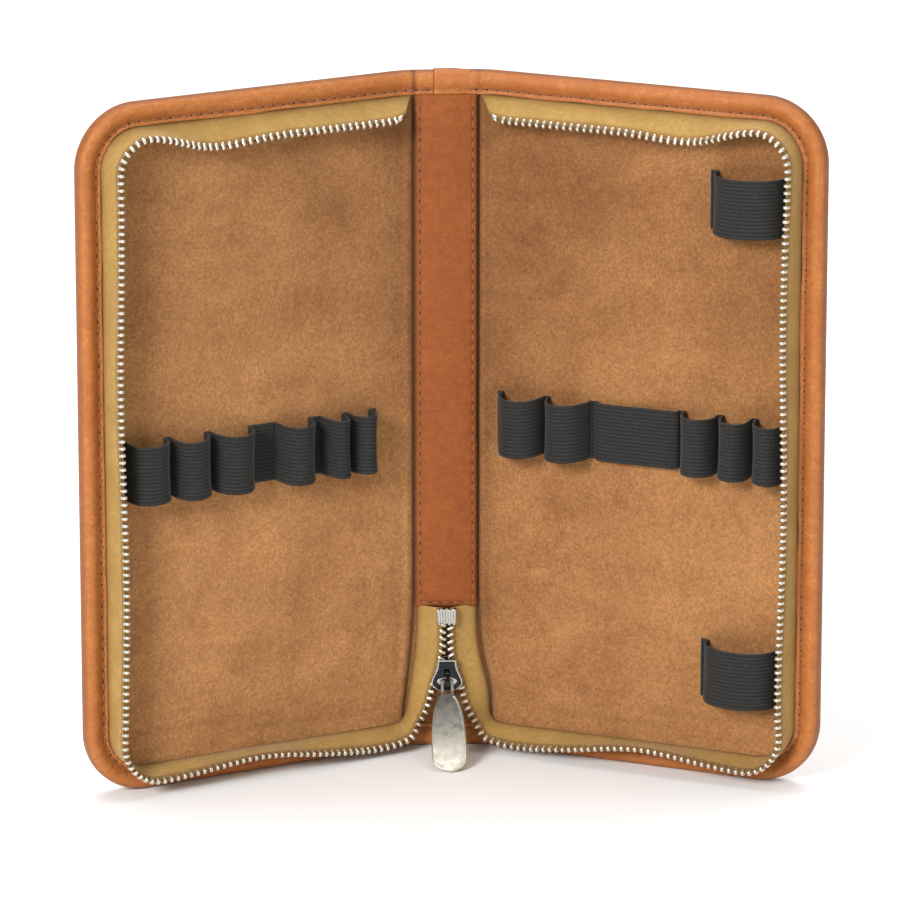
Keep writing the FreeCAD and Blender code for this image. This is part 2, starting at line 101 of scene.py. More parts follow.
def wave_noise(coordinates, seed, scale):
    """A smooth repeatable noise: a sum of sine waves over some coordinates."""
    p = np.stack(np.broadcast_arrays(*coordinates), -1)
    rng = np.random.default_rng(seed)
    total = np.zeros(p.shape[:-1])
    for _ in range(9):
        direction = unit(rng.normal(size=len(coordinates)))
        length = scale * (0.45 + 1.4 * rng.random())
        phase = rng.random() * 2 * np.pi
        total += np.sin((p @ direction) * 2 * np.pi / length + phase)
    return total / 4.0


def place(side, s, n, z):
    """World position in metres of a point given flat, with the covers standing open."""
    s, n, z = np.broadcast_arrays(*(np.asarray(v, float) for v in (s, n, z)))
    w, c, k = CREASE_BEND, math.cos(OPEN), math.sin(OPEN)
    u = s - CREASE
    t = np.clip((u + w) / (2 * w), 0, 1)
    bend_x = (1 - t) ** 2 * (CREASE - w) + 2 * t * (1 - t) * CREASE + t * t * (CREASE + w * c)
    x = np.where(u <= -w, s, np.where(u >= w, CREASE + u * c, bend_x))
    y = np.where(u <= -w, 0.0, np.where(u >= w, -u * k, -t * t * w * k))
    tangent = unit(np.stack([1 - t + t * c, -t * k], -1))
    x = x + n * tangent[..., 1]
    y = y - n * tangent[..., 0]
    return np.stack([side * x, CREASE_Y + y, z], -1) * MM


def grid_faces(rows, cols, base=0, wrap=False):
    """Quads between neighbouring rows of points; wrap closes each row into a ring."""
    faces = []
    for i in range(rows - 1):
        for j in range(cols if wrap else cols - 1):
            a = base + i * cols + j
            b = base + i * cols + (j + 1) % cols
            faces.append((a, b, b + cols, a + cols))
    return faces


def tube_faces(rows, cols, base=0):
    """The faces of a tube of rings, closed at both ends."""
    last = base + (rows - 1) * cols
    caps = [tuple(range(base, base + cols)), tuple(range(last, last + cols))]
    return grid_faces(rows, cols, base, wrap=True) + caps


def slab_faces(rows, cols):
    """The faces of a sheet: a top grid, a bottom grid stored after it, and the rim."""
    under = rows * cols
    rim = (
        [i * cols for i in range(rows)]
        + [(rows - 1) * cols + j for j in range(1, cols)]
        + [i * cols + cols - 1 for i in range(rows - 2, -1, -1)]
        + list(range(cols - 2, 0, -1))
    )
    bottom = [face[::-1] for face in grid_faces(rows, cols, under)]
    skirt = [(a, b, b + under, a + under) for a, b in zip(rim, rim[1:] + rim[:1])]
    return grid_faces(rows, cols) + bottom + skirt


def add_object(name, data):
    obj = bpy.data.objects.new(name, data)
    bpy.context.scene.collection.objects.link(obj)
    return obj


def make_object(name, verts, faces, material, uv=None, second=None):
    """A mesh piece; second is another material, with a flag for each face that takes it."""
    mesh = bpy.data.meshes.new(name)
    mesh.from_pydata(np.asarray(verts, float).reshape(-1, 3).tolist(), [], faces)
    mesh.update()
    if uv is not None:
        index = np.zeros(len(mesh.loops), np.int32)
        mesh.loops.foreach_get("vertex_index", index)
        uv = np.asarray(uv, float).reshape(-1, 2)[index]
        mesh.uv_layers.new(name="UVMap").data.foreach_set("uv", uv.ravel())
    mesh.materials.append(material)
    if second is not None:
        mesh.materials.append(second[0])
        mesh.polygons.foreach_set("material_index", np.asarray(second[1], np.int32))
    mesh.shade_smooth()
    bm = bmesh.new()
    bm.from_mesh(mesh)
    bmesh.ops.recalc_face_normals(bm, faces=bm.faces)
    bm.to_mesh(mesh)
    bm.free()
    mesh.set_sharp_from_angle(angle=math.radians(62))
    return add_object(name, mesh)


def set_attribute(obj, name, values, grids=1):
    """A number at each point; a sheet's top and bottom grids take the same ones."""
    layer = obj.data.attributes.new(name, "FLOAT", "POINT")
    layer.data.foreach_set("value", np.asarray([values] * grids, np.float32).ravel())


def declare(nodes):
    """Hide the CAD nodes that a piece stands for."""
    if nodes:
        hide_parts(*nodes)


def on_body(obj, slot, body, *nodes):
    """Parent a piece to one body's empty so that it moves with it, and hide the CAD nodes it stands for."""
    declare(nodes)
    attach(obj, body)


def over_crease(obj, slot, side, word, *nodes, reach=(CREASE - 3.6, CREASE + 3.6)):
    """Hide the CAD nodes that a piece stands for, and bake its placement into its mesh."""
    declare(nodes)
    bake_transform(obj)


def front_only(side, *nodes):
    """The spine's CAD nodes, which the front half's pieces stand for."""
    return nodes if side == FRONT else ()


# --- materials


class Shader:
    """A short way to write a node material."""

    def __init__(self, name):
        self.material = bpy.data.materials.new(name)
        self.material.use_nodes = True
        self.tree = self.material.node_tree
        coords = self.tree.nodes.new("ShaderNodeTexCoord")
        self.uv = coords.outputs["UV"]
        self.mm = self.node(
            "VectorMath", 0, {0: coords.outputs["Object"], "Scale": 1 / MM}, operation="SCALE",
        )

    def put(self, socket, value):
        if hasattr(value, "is_output"):
            self.tree.links.new(value, socket)
        elif isinstance(value, tuple) and len(value) == 3 and socket.type == "RGBA":
            socket.default_value = (*value, 1.0)
        else:
            socket.default_value = value

    def node(self, kind, output, inputs, **settings):
        """A new node's output, with each input linked or set by its name or number."""
        node = self.tree.nodes.new("ShaderNode" + kind)
        for name, value in settings.items():
            setattr(node, name, value)
        for key, value in inputs.items():
            self.put(node.inputs[key], value)
        return node.outputs[output]

    def stretch(self, vector, scale):
        return self.node("VectorMath", 0, {0: vector, 1: scale}, operation="MULTIPLY")

    def noise(self, scale, detail=3.0, rough=0.55, vector=None, distortion=0.0):
        return self.node("TexNoise", "Fac", {
            "Vector": vector or self.mm, "Scale": scale, "Detail": detail, "Roughness": rough,
            "Distortion": distortion,
        })

    def cells(self, scale, feature, vector):
        return self.node("TexVoronoi", "Distance", {"Vector": vector, "Scale": scale}, feature=feature)

    def wave(self, scale, direction, distortion, vector=None):
        return self.node("TexWave", "Fac", {
            "Vector": vector or self.uv, "Scale": scale, "Distortion": distortion, "Detail": 1.0,
        }, bands_direction=direction)

    def attribute(self, name):
        return self.node("Attribute", "Fac", {}, attribute_name=name)

    def math(self, operation, a, b):
        return self.node("Math", 0, {0: a, 1: b}, operation=operation)

    def times(self, a, b):
        return self.math("MULTIPLY", a, b)

    def tint(self, colour, new, mask, low, high, most=0.0, least=1.0):
        """The colour with a new one over it, as strongly as most to least across the mask."""
        return self.mix(self.remap(mask, low, high, most, least), colour, new)

    def plus(self, total, *weighted):
        """A sum of one value and some others, each given with its weight."""
        for value, weight in weighted:
            total = self.math("ADD", total, self.times(value, weight))
        return total

    def remap(self, value, low, high, to_low=0.0, to_high=1.0):
        return self.node("MapRange", "Result", {
            "Value": value, "From Min": low, "From Max": high, "To Min": to_low, "To Max": to_high,
        })

    def mix(self, factor, a, b, blend="MIX"):
        return self.node("Mix", 2, {0: factor, 6: a, 7: b}, data_type="RGBA", blend_type=blend)

    def bump(self, height, strength, distance, below=None):
        inputs = {"Strength": strength, "Distance": distance, "Height": height}
        if below is not None:
            inputs["Normal"] = below
        return self.node("Bump", "Normal", inputs)

    def finish(self, **values):
        for name, value in values.items():
            self.put(self.tree.nodes["Principled BSDF"].inputs[name.replace("_", " ")], value)
        return self.material


def srgb(colour):
    """Linear values of a colour given in 0 to 255."""
    channels = (v / 255.0 for v in colour)
    return tuple(v / 12.92 if v <= 0.04045 else ((v + 0.055) / 1.055) ** 2.4 for v in channels)


def toned(colour, amount):
    """A linear colour, darker or brighter by a factor."""
    return tuple(min(v * amount, 1.0) for v in colour)


def leather(name, light, dark, edge, grain=1.0, raw=(196, 142, 92)):
    """Smooth tanned leather: mottled dye, hair-cell grain and fine creases.

    One attribute darkens worn places and paints shade in grooves and folds, and the cut attribute shows raw
    edges.
    """
    light, dark, edge, raw = (srgb(colour) for colour in (light, dark, edge, raw))
    m = Shader(name)
    clouds = m.remap(m.noise(0.05, 5.0, 0.6), 0.34, 0.66)
    streaks = m.remap(m.noise(0.24, 4.0, 0.6, distortion=0.4), 0.3, 0.7)
    colour = m.mix(m.remap(clouds, 0.0, 1.0, 0.3, 0.85), dark, light)
    colour = m.mix(m.times(streaks, 0.4), colour, light)
    blotches = m.noise(0.4, 4.0, 0.65, distortion=0.3)
    colour = m.tint(colour, dark, blotches, 0.38, 0.6, 0.45, 0.0)
    flecks = m.noise(0.9, 4.0, 0.7)
    colour = m.tint(colour, dark, flecks, 0.35, 0.6, 0.4, 0.0)
    warped = m.stretch(m.mm, (1.0, 1.0, 1.35))
    pebble = m.cells(1.05 * grain, "SMOOTH_F1", warped)
    lines = m.remap(m.cells(0.85 * grain, "DISTANCE_TO_EDGE", warped), 0.0, 0.14)
    pores = m.noise(2.6, 3.0, 0.7)
    wrinkle = m.remap(m.noise(0.42, 5.0, 0.68, m.stretch(m.mm, (0.6, 0.6, 1.5)), 0.8), 0.44, 0.56)
    creased = toned(dark, 0.75)
    colour = m.mix(m.times(m.math("SUBTRACT", 1.0, lines), 0.42), colour, creased)
    colour = m.tint(colour, creased, pores, 0.3, 0.5, 0.45, 0.0)
    colour = m.mix(m.times(wrinkle, 0.18), colour, creased)
    # Worn places, and painted shade in grooves and folds.
    colour = m.mix(m.attribute("wear_and_shade"), colour, edge)
    colour = m.mix(m.attribute("cut"), colour, raw)
    height = m.plus(m.times(lines, 0.5), (pebble, -0.6), (pores, 0.4), (wrinkle, -0.5))
    soft = m.bump(m.noise(0.17, 3.0, 0.5), 0.4, 0.0007)
    normal = m.bump(height, 0.42, 0.00014, soft)
    rough = m.remap(m.noise(0.7, 4.0, 0.6), 0.25, 0.75, 0.42, 0.6)
    return m.finish(Base_Color=colour, Roughness=rough, Normal=normal, Specular_IOR_Level=0.27)


def suede(name, light, dark):
    """Napped lining: brushed patches, short fibres and no gloss.

    Two attributes darken it: one paints shade beside the spine, toward the top and over the back cover, the
    other paints shade in its folds.
    """
    light, dark = srgb(light), srgb(dark)
    m = Shader(name)
    clouds = m.remap(m.noise(0.06, 5.0, 0.62, distortion=0.6), 0.32, 0.68)
    brushed = m.noise(0.5, 5.0, 0.7, m.stretch(m.mm, (1.0, 1.0, 0.5)))
    nap = m.noise(1.1, 4.0, 0.72)
    fibres = m.noise(3.4, 4.0, 0.8)
    colour = m.mix(clouds, dark, light)
    colour = m.tint(colour, light, brushed, 0.35, 0.65, 0.0, 0.5)
    swept = m.remap(m.noise(0.16, 4.0, 0.65, m.stretch(m.mm, (1.0, 1.0, 0.55)), 1.2), 0.36, 0.68)
    colour = m.mix(m.times(swept, 0.3), colour, toned(light, 1.2))
    patches = m.noise(0.045, 4.0, 0.6, m.stretch(m.mm, (0.7, 0.7, 1.3)), 0.8)
    colour = m.tint(colour, toned(light, 1.3), patches, 0.46, 0.66, 0.0, 0.5)
    colour = m.tint(colour, toned(dark, 0.7), nap, 0.36, 0.56, 0.5, 0.0)
    colour = m.tint(colour, toned(light, 1.4), nap, 0.53, 0.7, 0.0, 0.4)
    colour = m.tint(colour, toned(dark, 0.68), fibres, 0.38, 0.56, 0.75, 0.0)
    # Painted shade beside the spine, toward the top and over the back cover.
    colour = m.mix(m.attribute("shade"), colour, (0.52, 0.46, 0.43), "MULTIPLY")
    # Painted shade in the lining's folds.
    colour = m.mix(m.attribute("wear_and_shade"), colour, toned(dark, 0.34))
    low = m.bump(m.noise(0.35, 4.0, 0.6), 0.5, 0.0005)
    mid = m.bump(nap, 0.6, 0.0003, low)
    return m.finish(
        Base_Color=colour, Roughness=0.95, Normal=m.bump(fibres, 0.7, 0.00022, mid), Specular_IOR_Level=0.12,
        Sheen_Weight=0.22, Sheen_Roughness=0.5, Sheen_Tint=(0.95, 0.78, 0.6, 1.0),
    )


def twill(name, light, dark, root):
    """Woven zip tape: fine diagonal ribs and yarns, darkened by dirt and painted shade where an attribute
    says.
    """
    light, dark, root = srgb(light), srgb(dark), srgb(root)
    m = Shader(name)
    diagonal = m.node("Mapping", 0, {"Vector": m.uv, "Rotation": (0, 0, math.radians(38))})
    ribs = m.wave(0.5, "X", 0.6, diagonal)
    yarn = m.wave(1.0, "X", 0.4)
    weft = m.wave(1.0, "Y", 0.4)
    fuzz = m.noise(2.2, 4.0, 0.7)
    colour = m.mix(m.remap(ribs, 0.1, 0.9, 0.45, 1.0), dark, light)
    colour = m.tint(colour, dark, fuzz, 0.35, 0.65, 0.4, 0.0)
    colour = m.tint(colour, dark, m.noise(0.8, 3.0, 0.7), 0.38, 0.6, 0.5, 0.0)
    colour = m.tint(colour, dark, m.noise(0.12, 4.0, 0.6), 0.35, 0.65, 0.55, 0.0)
    # Dirt and painted shade at the tape's root, painted shade along its bead.
    colour = m.mix(m.attribute("wear_and_shade"), colour, root)
    height = m.plus(ribs, (yarn, 0.5), (weft, 0.5), (fuzz, 0.6))
    return m.finish(
        Base_Color=colour, Roughness=0.88, Normal=m.bump(height, 0.36, 0.00013), Specular_IOR_Level=0.2,
        Sheen_Weight=0.15, Sheen_Roughness=0.4,
    )


def woven_elastic(name):
    """Black elastic: rubber-cored ribs along the band under a fine weave."""
    m = Shader(name)
    ribs = m.wave(0.3, "Y", 0.5)
    weave = m.wave(1.1, "X", 0.8)
    fuzz = m.noise(3.0, 4.0, 0.75)
    lint = m.noise(0.9, 5.0, 0.8, distortion=0.5)
    colour = m.mix(m.remap(ribs, 0.1, 0.95), srgb((24, 24, 23)), srgb((42, 41, 39)))
    colour = m.tint(colour, srgb((84, 82, 79)), fuzz, 0.52, 0.75, 0.0, 0.45)
    colour = m.tint(colour, srgb((104, 99, 92)), lint, 0.62, 0.72, 0.0, 0.35)
    height = m.plus(m.times(ribs, 0.7), (weave, 0.25), (fuzz, 0.35))
    return m.finish(
        Base_Color=colour, Roughness=0.84, Normal=m.bump(height, 0.42, 0.00024), Specular_IOR_Level=0.25,
        Sheen_Weight=0.1, Sheen_Roughness=0.4,
    )


def metal(name, colour, rough, brushed=None, painted_reflection=None):
    """Plated or brushed metal with handling marks.

    Brushed is how much its lines are stretched, and the last argument the length,
    from and to, over which a painted dark reflection fades so that one end is brighter.
    """
    colour = srgb(colour)
    m = Shader(name)
    marks = m.noise(0.55, 3.0, 0.55)
    tint = m.tint(colour, toned(colour, 0.6), marks, 0.4, 0.75, 0.0, 0.45)
    roughness = m.remap(marks, 0.3, 0.7, rough * 0.8, rough * 1.3)
    # Painted reflection: darker toward one end of the length.
    if painted_reflection:
        length = m.node("SeparateXYZ", 1, {0: m.uv})
        painted_dark = m.remap(length, painted_reflection[1], painted_reflection[0], 0.0, 0.92)
        painted_dark = m.times(painted_dark, m.remap(length, -3.6, -2.6, 1.0, 0.5))
        tint = m.mix(painted_dark, tint, toned(colour, 0.2))
    if brushed:
        normal = m.bump(m.noise(3.0, 3.0, 0.6, m.stretch(m.uv, brushed)), 0.12, 0.00002)
    else:
        normal = m.bump(m.noise(0.9, 2.0, 0.5), 0.12, 0.0001)
    return m.finish(Base_Color=tint, Metallic=1.0, Roughness=roughness, Normal=normal)


def thread(name, colour):
    """Twisted sewing thread."""
    colour = srgb(colour)
    m = Shader(name)
    twist = m.noise(5.0, 2.0, 0.6)
    tint = m.mix(m.remap(twist, 0.35, 0.65), toned(colour, 0.6), colour)
    return m.finish(
        Base_Color=tint, Roughness=0.75, Normal=m.bump(twist, 0.6, 0.0001), Sheen_Weight=0.15,
    )


def board_paper(name):
    m = Shader(name)
    pulp = m.noise(1.4, 5.0, 0.7)
    colour = m.mix(pulp, srgb((120, 104, 84)), srgb((158, 140, 116)))
    return m.finish(Base_Color=colour, Roughness=0.9, Normal=m.bump(pulp, 0.4, 0.0001))


COVER = leather("cover_leather", (196, 122, 60), (164, 90, 38), (108, 54, 24))
BORDER = leather("border_leather", (194, 126, 66), (160, 90, 41), (96, 48, 22), 1.15, (214, 158, 104))
STRIP = leather("spine_strip_leather", (160, 88, 30), (126, 62, 20), (78, 36, 14), 1.2)
SUEDE = suede("suede_lining", (188, 138, 87), (148, 97, 58))
TWILL = twill("zip_twill", (190, 157, 93), (150, 116, 61), (90, 58, 24))
ELASTIC = woven_elastic("ribbed_elastic")
TOOTH = metal("zip_tooth_metal", (220, 213, 196), 0.34)
SLIDER = metal("slider_nickel", (190, 189, 184), 0.14)
FACE = metal("slider_dark_face", (52, 54, 56), 0.1)
# The pull's last pair paints a dark reflection over the top of its length.
PULL = metal("pull_brushed_metal", (232, 228, 214), 0.36, (1.2, 0.05, 1.0), (-5.0, -21.0))
THREAD = thread("tan_thread", (150, 90, 44))
# Dark pieces sunk between stitches: painted shade inside the needle holes.
HOLE_SHADE = thread("needle_hole_shade", (52, 26, 12))
BLACK_THREAD = thread("black_thread", (30, 30, 31))
BOARD = board_paper("stiffening_board")
STAMP = leather("stamped_leather", (112, 62, 36), (88, 46, 26), (190, 122, 72), 1.3)

for node in ("front_cover_board", "back_cover_board", "spine_board"):
    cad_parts[node].data.materials.clear()
    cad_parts[node].data.materials.append(BOARD)


# --- sheets of leather


def edge_reach(z, inset):
    """How far a cover reaches at height z, drawn inset from its edge."""
    radius = CORNER - inset
    off = np.clip(np.maximum(CORNER - z, z - (HIGH - CORNER)), 0, radius)
    return EDGE - CORNER + np.sqrt(np.maximum(radius * radius - off * off, 0))


def sheet_heights(inset, count):
    """Heights of a sheet's rows, close together round its corners."""
    low = CORNER - (CORNER - inset) * np.cos(np.linspace(0, math.pi / 2, 15))
    middle = np.linspace(CORNER, HIGH - CORNER, count)[1:-1]
    return np.concatenate([low, middle, HIGH - low[::-1]])


FOLDS_START, FOLDS_END = 7.0, 17.0
COLUMNS = np.concatenate([
    np.linspace(0, FOLDS_START, 6)[:-1],
    np.linspace(FOLDS_START, FOLDS_END, 50)[:-1],
    np.linspace(FOLDS_END, EDGE, 80),
])


def half_sheet(name, side, inset, n_low, n_high, material, relief, count):
    """Half a sheet of leather, from the spine's centre line out to the cover's edge.

    The relief is on its free face: the outer one below the board, or the inner one above.
    """
    z = sheet_heights(inset, count)
    stretch = (edge_reach(z, inset) - FOLDS_END) / (EDGE - FOLDS_END)
    s = np.minimum(COLUMNS, FOLDS_END) + stretch[:, None] * np.maximum(COLUMNS - FOLDS_END, 0)
    z = np.broadcast_to(z[:, None], s.shape)
    rise = relief(side, s, z)
    faces_n = (n_high + rise, n_low) if n_high > 0 else (n_high, n_low - rise)
    verts = [place(side, s, n, z) for n in faces_n]
    return make_object(name, verts, slab_faces(*s.shape), material), s, z


def outside_relief(side, s, z):
    bumps = wave_noise((s, z), 3, 46.0) * 0.10 * ramp(s, 0, 6)
    return bumps - 0.10 * bell(s - CREASE, 1.6)


def side_slack(side, z):
    """The back cover's tape lies wider beside the slider than the front's."""
    return (1.9 if side == BACK else 0.3) * bell(z - 16.0, 9.0)


def groove_line(side, z):
    """Where the lining folds: beside the strip, then outside the zip's tail."""
    line = np.interp(z, (0, 9, 15, 24, 34, 44), (14.0, 12.6, 11.6, 10.6, 9.7, 9.1))
    return line + side_slack(side, z)


def low_lines(s, z):
    """Three shallow drag lines above the lower edge, as (strength, offset)."""
    lines = []
    for height, depth in ((12.0, 0.16), (15.5, 0.12), (20.5, 0.08)):
        wander = height + 0.8 * np.sin(s / 17.0 + height)
        lines.append((depth * ramp(s, CREASE + 6, 14), z - wander))
    return lines


def inside_relief(side, s, z):
    g = groove_line(side, z)
    swell = wave_noise((s, z), 11, 38.0) * 0.18 + wave_noise((s, z), 12, 13.0) * 0.08
    fold = -0.62 * bell(s - g, 0.6) + 0.45 * bell(s - g - 2.2, 1.2)
    fold = fold * ramp(s - g, -2.2, 1.4) * ramp(z, 7, 3)
    drag = -sum(depth * bell(off, 0.8) for depth, off in low_lines(s, z))
    inside = ramp(EDGE - s, 7, 3) * ramp(z, 7, 3) * ramp(HIGH - z, 7, 3)
    return (swell + drag) * inside * ramp(s - g, 2, 3) + fold


# Painted shade along the lining's fold beside the tape and in the low drag lines.
def fold_shade(side, s, z):
    crease = 0.95 * bell(s - groove_line(side, z), 0.75) * ramp(z, 5, 3)
    lines = sum(1.4 * depth * bell(off, 0.6) for depth, off in low_lines(s, z))
    return np.clip(crease + lines, 0, 1)


def inside_shade(side, s, z):
    """Painted shade: darker beside the spine and toward the top, most of all on the back cover, with a random
    cloud in it.
    """
    base, reach = (0.22, 15.0) if side == BACK else (0.0, 7.0)
    away = np.maximum(s - groove_line(side, z), 0)
    beside = 0.85 * np.exp(-away / reach) * (0.55 + 0.45 * ramp(z, 20, 50))
    top = 0.4 * ramp(z, 70, 90)
    cloud = 0.18 * wave_noise((s, z), 17, 60.0)
    return np.clip(base + beside + top + cloud, 0, 0.9)


for side, word in SIDES:
    sheet, s, z = half_sheet(word + "_outer_leather", side, 1.0, -1.2, 0.0, COVER, outside_relief, 130)
    set_attribute(sheet, "wear_and_shade", 0.5 * bell(s - CREASE, 1.8), grids=2)
    nodes = (word + "_cover_leather", *front_only(side, "spine_leather"))
    over_crease(sheet, "cover_leather", side, word, *nodes)

    sheet, s, z = half_sheet(word + "_suede", side, 1.2, 1.25, LINING_TOP, SUEDE, inside_relief, 140)
    set_attribute(sheet, "wear_and_shade", fold_shade(side, s, z), grids=2)
    set_attribute(sheet, "shade", inside_shade(side, s, z), grids=2)
    nodes = (word + "_cover_lining", *front_only(side, "spine_lining"))
    over_crease(sheet, "suede_lining", side, word, *nodes)


# --- folded border


def rim_stations(step, start=0.0):
    """Points round a cover's outline, as (s, z) and the inward direction there.

    They run out along the foot from start, up the fore edge and back along the top.
    """
    run, tall = EDGE - CORNER - start, HIGH - 2 * CORNER
    count = max(int(run / step), 2)
    tall_count = int(tall / step)
    arc_count = max(int(CORNER * math.pi / 2 / step * 1.6), 8)

    def corner(centre_z, first):
        for i in range(arc_count):
            a = first + math.pi / 2 * i / arc_count
            c, k = math.cos(a), math.sin(a)
            points.append((EDGE - CORNER + CORNER * c, centre_z + CORNER * k, -c, -k))

    points = [(start + run * i / count, 0.0, 0.0, 1.0) for i in range(count)]
    corner(CORNER, -math.pi / 2)
    points += [(EDGE, CORNER + tall * i / tall_count, -1.0, 0.0) for i in range(tall_count)]
    corner(HIGH - CORNER, 0.0)
    points += [(EDGE - CORNER - run * i / count, HIGH, 0.0, -1.0) for i in range(count + 1)]
    return np.array(points)


# The border's section, as (distance in from the edge, n): over the outside,
# round the rolled edge, down the stitch valley to the flange's cut edge, and
# back along the boards, which are its last two points.
BORDER_PROFILE = np.array([
    (6.5, -1.22), (6.52, -1.75), (6.4, -2.05), (6.1, -2.18), (5.5, -2.2), (5.05, -2.16), (4.7, -2.02),
    (4.35, -2.16), (3.8, -2.26), (3.0, -2.3), (2.1, -2.24), (1.3, -2.0), (0.65, -1.55), (0.22, -0.9),
    (0.02, -0.1), (0.0, 0.6), (0.02, 1.4), (0.2, 2.2), (0.62, 2.95), (1.2, 3.45), (1.95, 3.72),
    (2.7, 3.66), (3.4, 3.38), (4.0, 3.0), (4.5, 2.72), (4.95, 2.52), (5.25, 2.44), (5.55, 2.52),
    (6.0, 2.74), (6.35, 2.78), (6.52, 2.62), (6.54, 2.02), (1.1, 2.0), (1.1, -1.2),
])
BORDER_SKIN = BORDER_PROFILE[:-2]
CREASE_FOLD = 9.1


def border_half(side, word):
    """One cover's border, with ripples, puckered corners and a fold at the crease."""
    stations = rim_stations(1.3)
    e, n = BORDER_PROFILE.T
    s0, z0, ds, dz = (column[:, None] for column in stations.T)
    along = distance_along(stations[:, :2])[:, None]
    path = np.broadcast_to(along, (len(along), len(e)))
    skin = np.arange(len(e)) < len(BORDER_SKIN)
    ripple = wave_noise((path, n * 3), 21 + side, 11.0) * 0.07 * skin
    wander = wave_noise((path, 0.0), 31 + side, 26.0) * 0.16 * (e > 4.9)
    at_corner = (np.abs(ds) > 1e-6) & (np.abs(dz) > 1e-6)
    pucker = 0.12 * np.sin(path * 2 * math.pi / 3.4) * at_corner * (n > 1) * ramp(e, 2.5, 2.5)
    s = s0 + (e + wander) * ds
    z = z0 + (e + wander) * dz
    fold = bell(s - CREASE_FOLD, 0.45) * (z > HIGH / 2) * skin * (1.0 if side == FRONT else 0.35)
    surface = n + (ripple + pucker) * np.sign(n) * (e > 0.9) - 0.4 * fold * (n > 2)
    obj = make_object(word + "_border", place(side, s, surface, z), tube_faces(*s.shape), BORDER)
    # Painted shade in the stitch valley inside the roll and in the fold at the crease; the outer stitch line
    # and the rolled edge are drawn darker too.
    rub_and_shade = 0.42 * bell(e - 4.85, 0.5) * (n > 0) + 0.3 * bell(e - 4.7, 0.3) * (n < 0) + 0.5 * bell(e, 0.3)
    set_attribute(obj, "wear_and_shade", np.clip(rub_and_shade + 0.75 * fold, 0, 1))
    set_attribute(obj, "cut", np.broadcast_to(0.8 * (np.abs(e - 6.5) < 0.12), s.shape))
    nodes = (word + "_cover_border", *front_only(side, "spine_border_top", "spine_border_bottom"))
    over_crease(obj, "border_leather", side, word, *nodes)


for side, word in SIDES:
    border_half(side, word)


# --- stitches


def capsules(points, tangents, normals, length, radius, arch, base):
    """Short threads along tangents: each dips into the leather at both ends."""
    verts, faces = [], []
    half = ((-1.0, 0.35, -0.75), (-0.72, 0.85, -0.15))
    rings = half + ((0.0, 1.0, arch),) + tuple((-x, fat, lift) for x, fat, lift in half[::-1])
    turns = [2 * math.pi * k / 6 for k in range(6)]
    for p, t, n in zip(points, tangents, normals):
        t = unit(t)
        n = unit(n - t * np.dot(n, t))
        b = np.cross(t, n)
        faces += tube_faces(len(rings), len(turns), base + len(verts))
        for along, fat, lift in rings:
            centre = p + t * along * length / 2 + n * lift * radius
            verts += [centre + (b * math.cos(a) + n * math.sin(a)) * radius * fat for a in turns]
    return verts, faces


def stitch_places(side, s, n, z, pitch):
    """Even places along a flat path, with the tangent and the normal at each."""
    line = place(side, s, n, z)
    above = place(side, s, n + np.sign(n), z)
    along = distance_along(line)
    at = np.arange(pitch / 2 * MM, along[-1], pitch * MM)
    step = 0.4 * MM
    tangents = sample(at + step, along, line) - sample(at - step, along, line)
    points = sample(at, along, line)
    return points, tangents, sample(at, along, above) - points


def sew(name, side, runs, thread_material, hole_shade_material, length, radius):
    """Threads along some flat runs, with a dark piece between each two that paints the shade in a needle
    hole.

    Each run is (s, n, z, pitch). No hole material means no holes.
    """
    verts, faces, is_hole = [], [], []

    def add(hole, *shape):
        more, cells = capsules(*shape, len(verts))
        verts.extend(more)
        faces.extend(cells)
        is_hole.extend([hole] * len(cells))

    for s, n, z, pitch in runs:
        points, tangents, normals = stitch_places(side, s, n, z, pitch)
        add(0, points, tangents, normals, length * MM, radius * MM, 0.4)
        # Dark pieces between the threads paint the shade in the needle holes.
        if hole_shade_material:
            middle = 0.5 * (points[1:] + points[:-1])
            sunk = middle - unit(normals)[1:] * radius * 0.75 * MM
            add(1, sunk, tangents[1:], normals[1:], (pitch - length + 0.1) * MM, radius * 1.2 * MM, 0.0)
    second = (hole_shade_material, is_hole) if hole_shade_material else None
    return make_object(name, verts, faces, thread_material, second=second)


def border_stitches(side, word):
    """The seam through the border, seen on its outside and on its flange."""
    s0, z0, ds, dz = rim_stations(0.8).T
    runs = [(s0 + e * ds, n, z0 + e * dz, 3.1) for e, n in ((4.7, -2.08), (5.25, 2.48))]
    obj = sew(word + "_border_stitches", side, runs, THREAD, HOLE_SHADE, 1.95, 0.3)
    over_crease(obj, "border_leather", side, word)


for side, word in SIDES:
    border_stitches(side, word)


# --- spine pieces


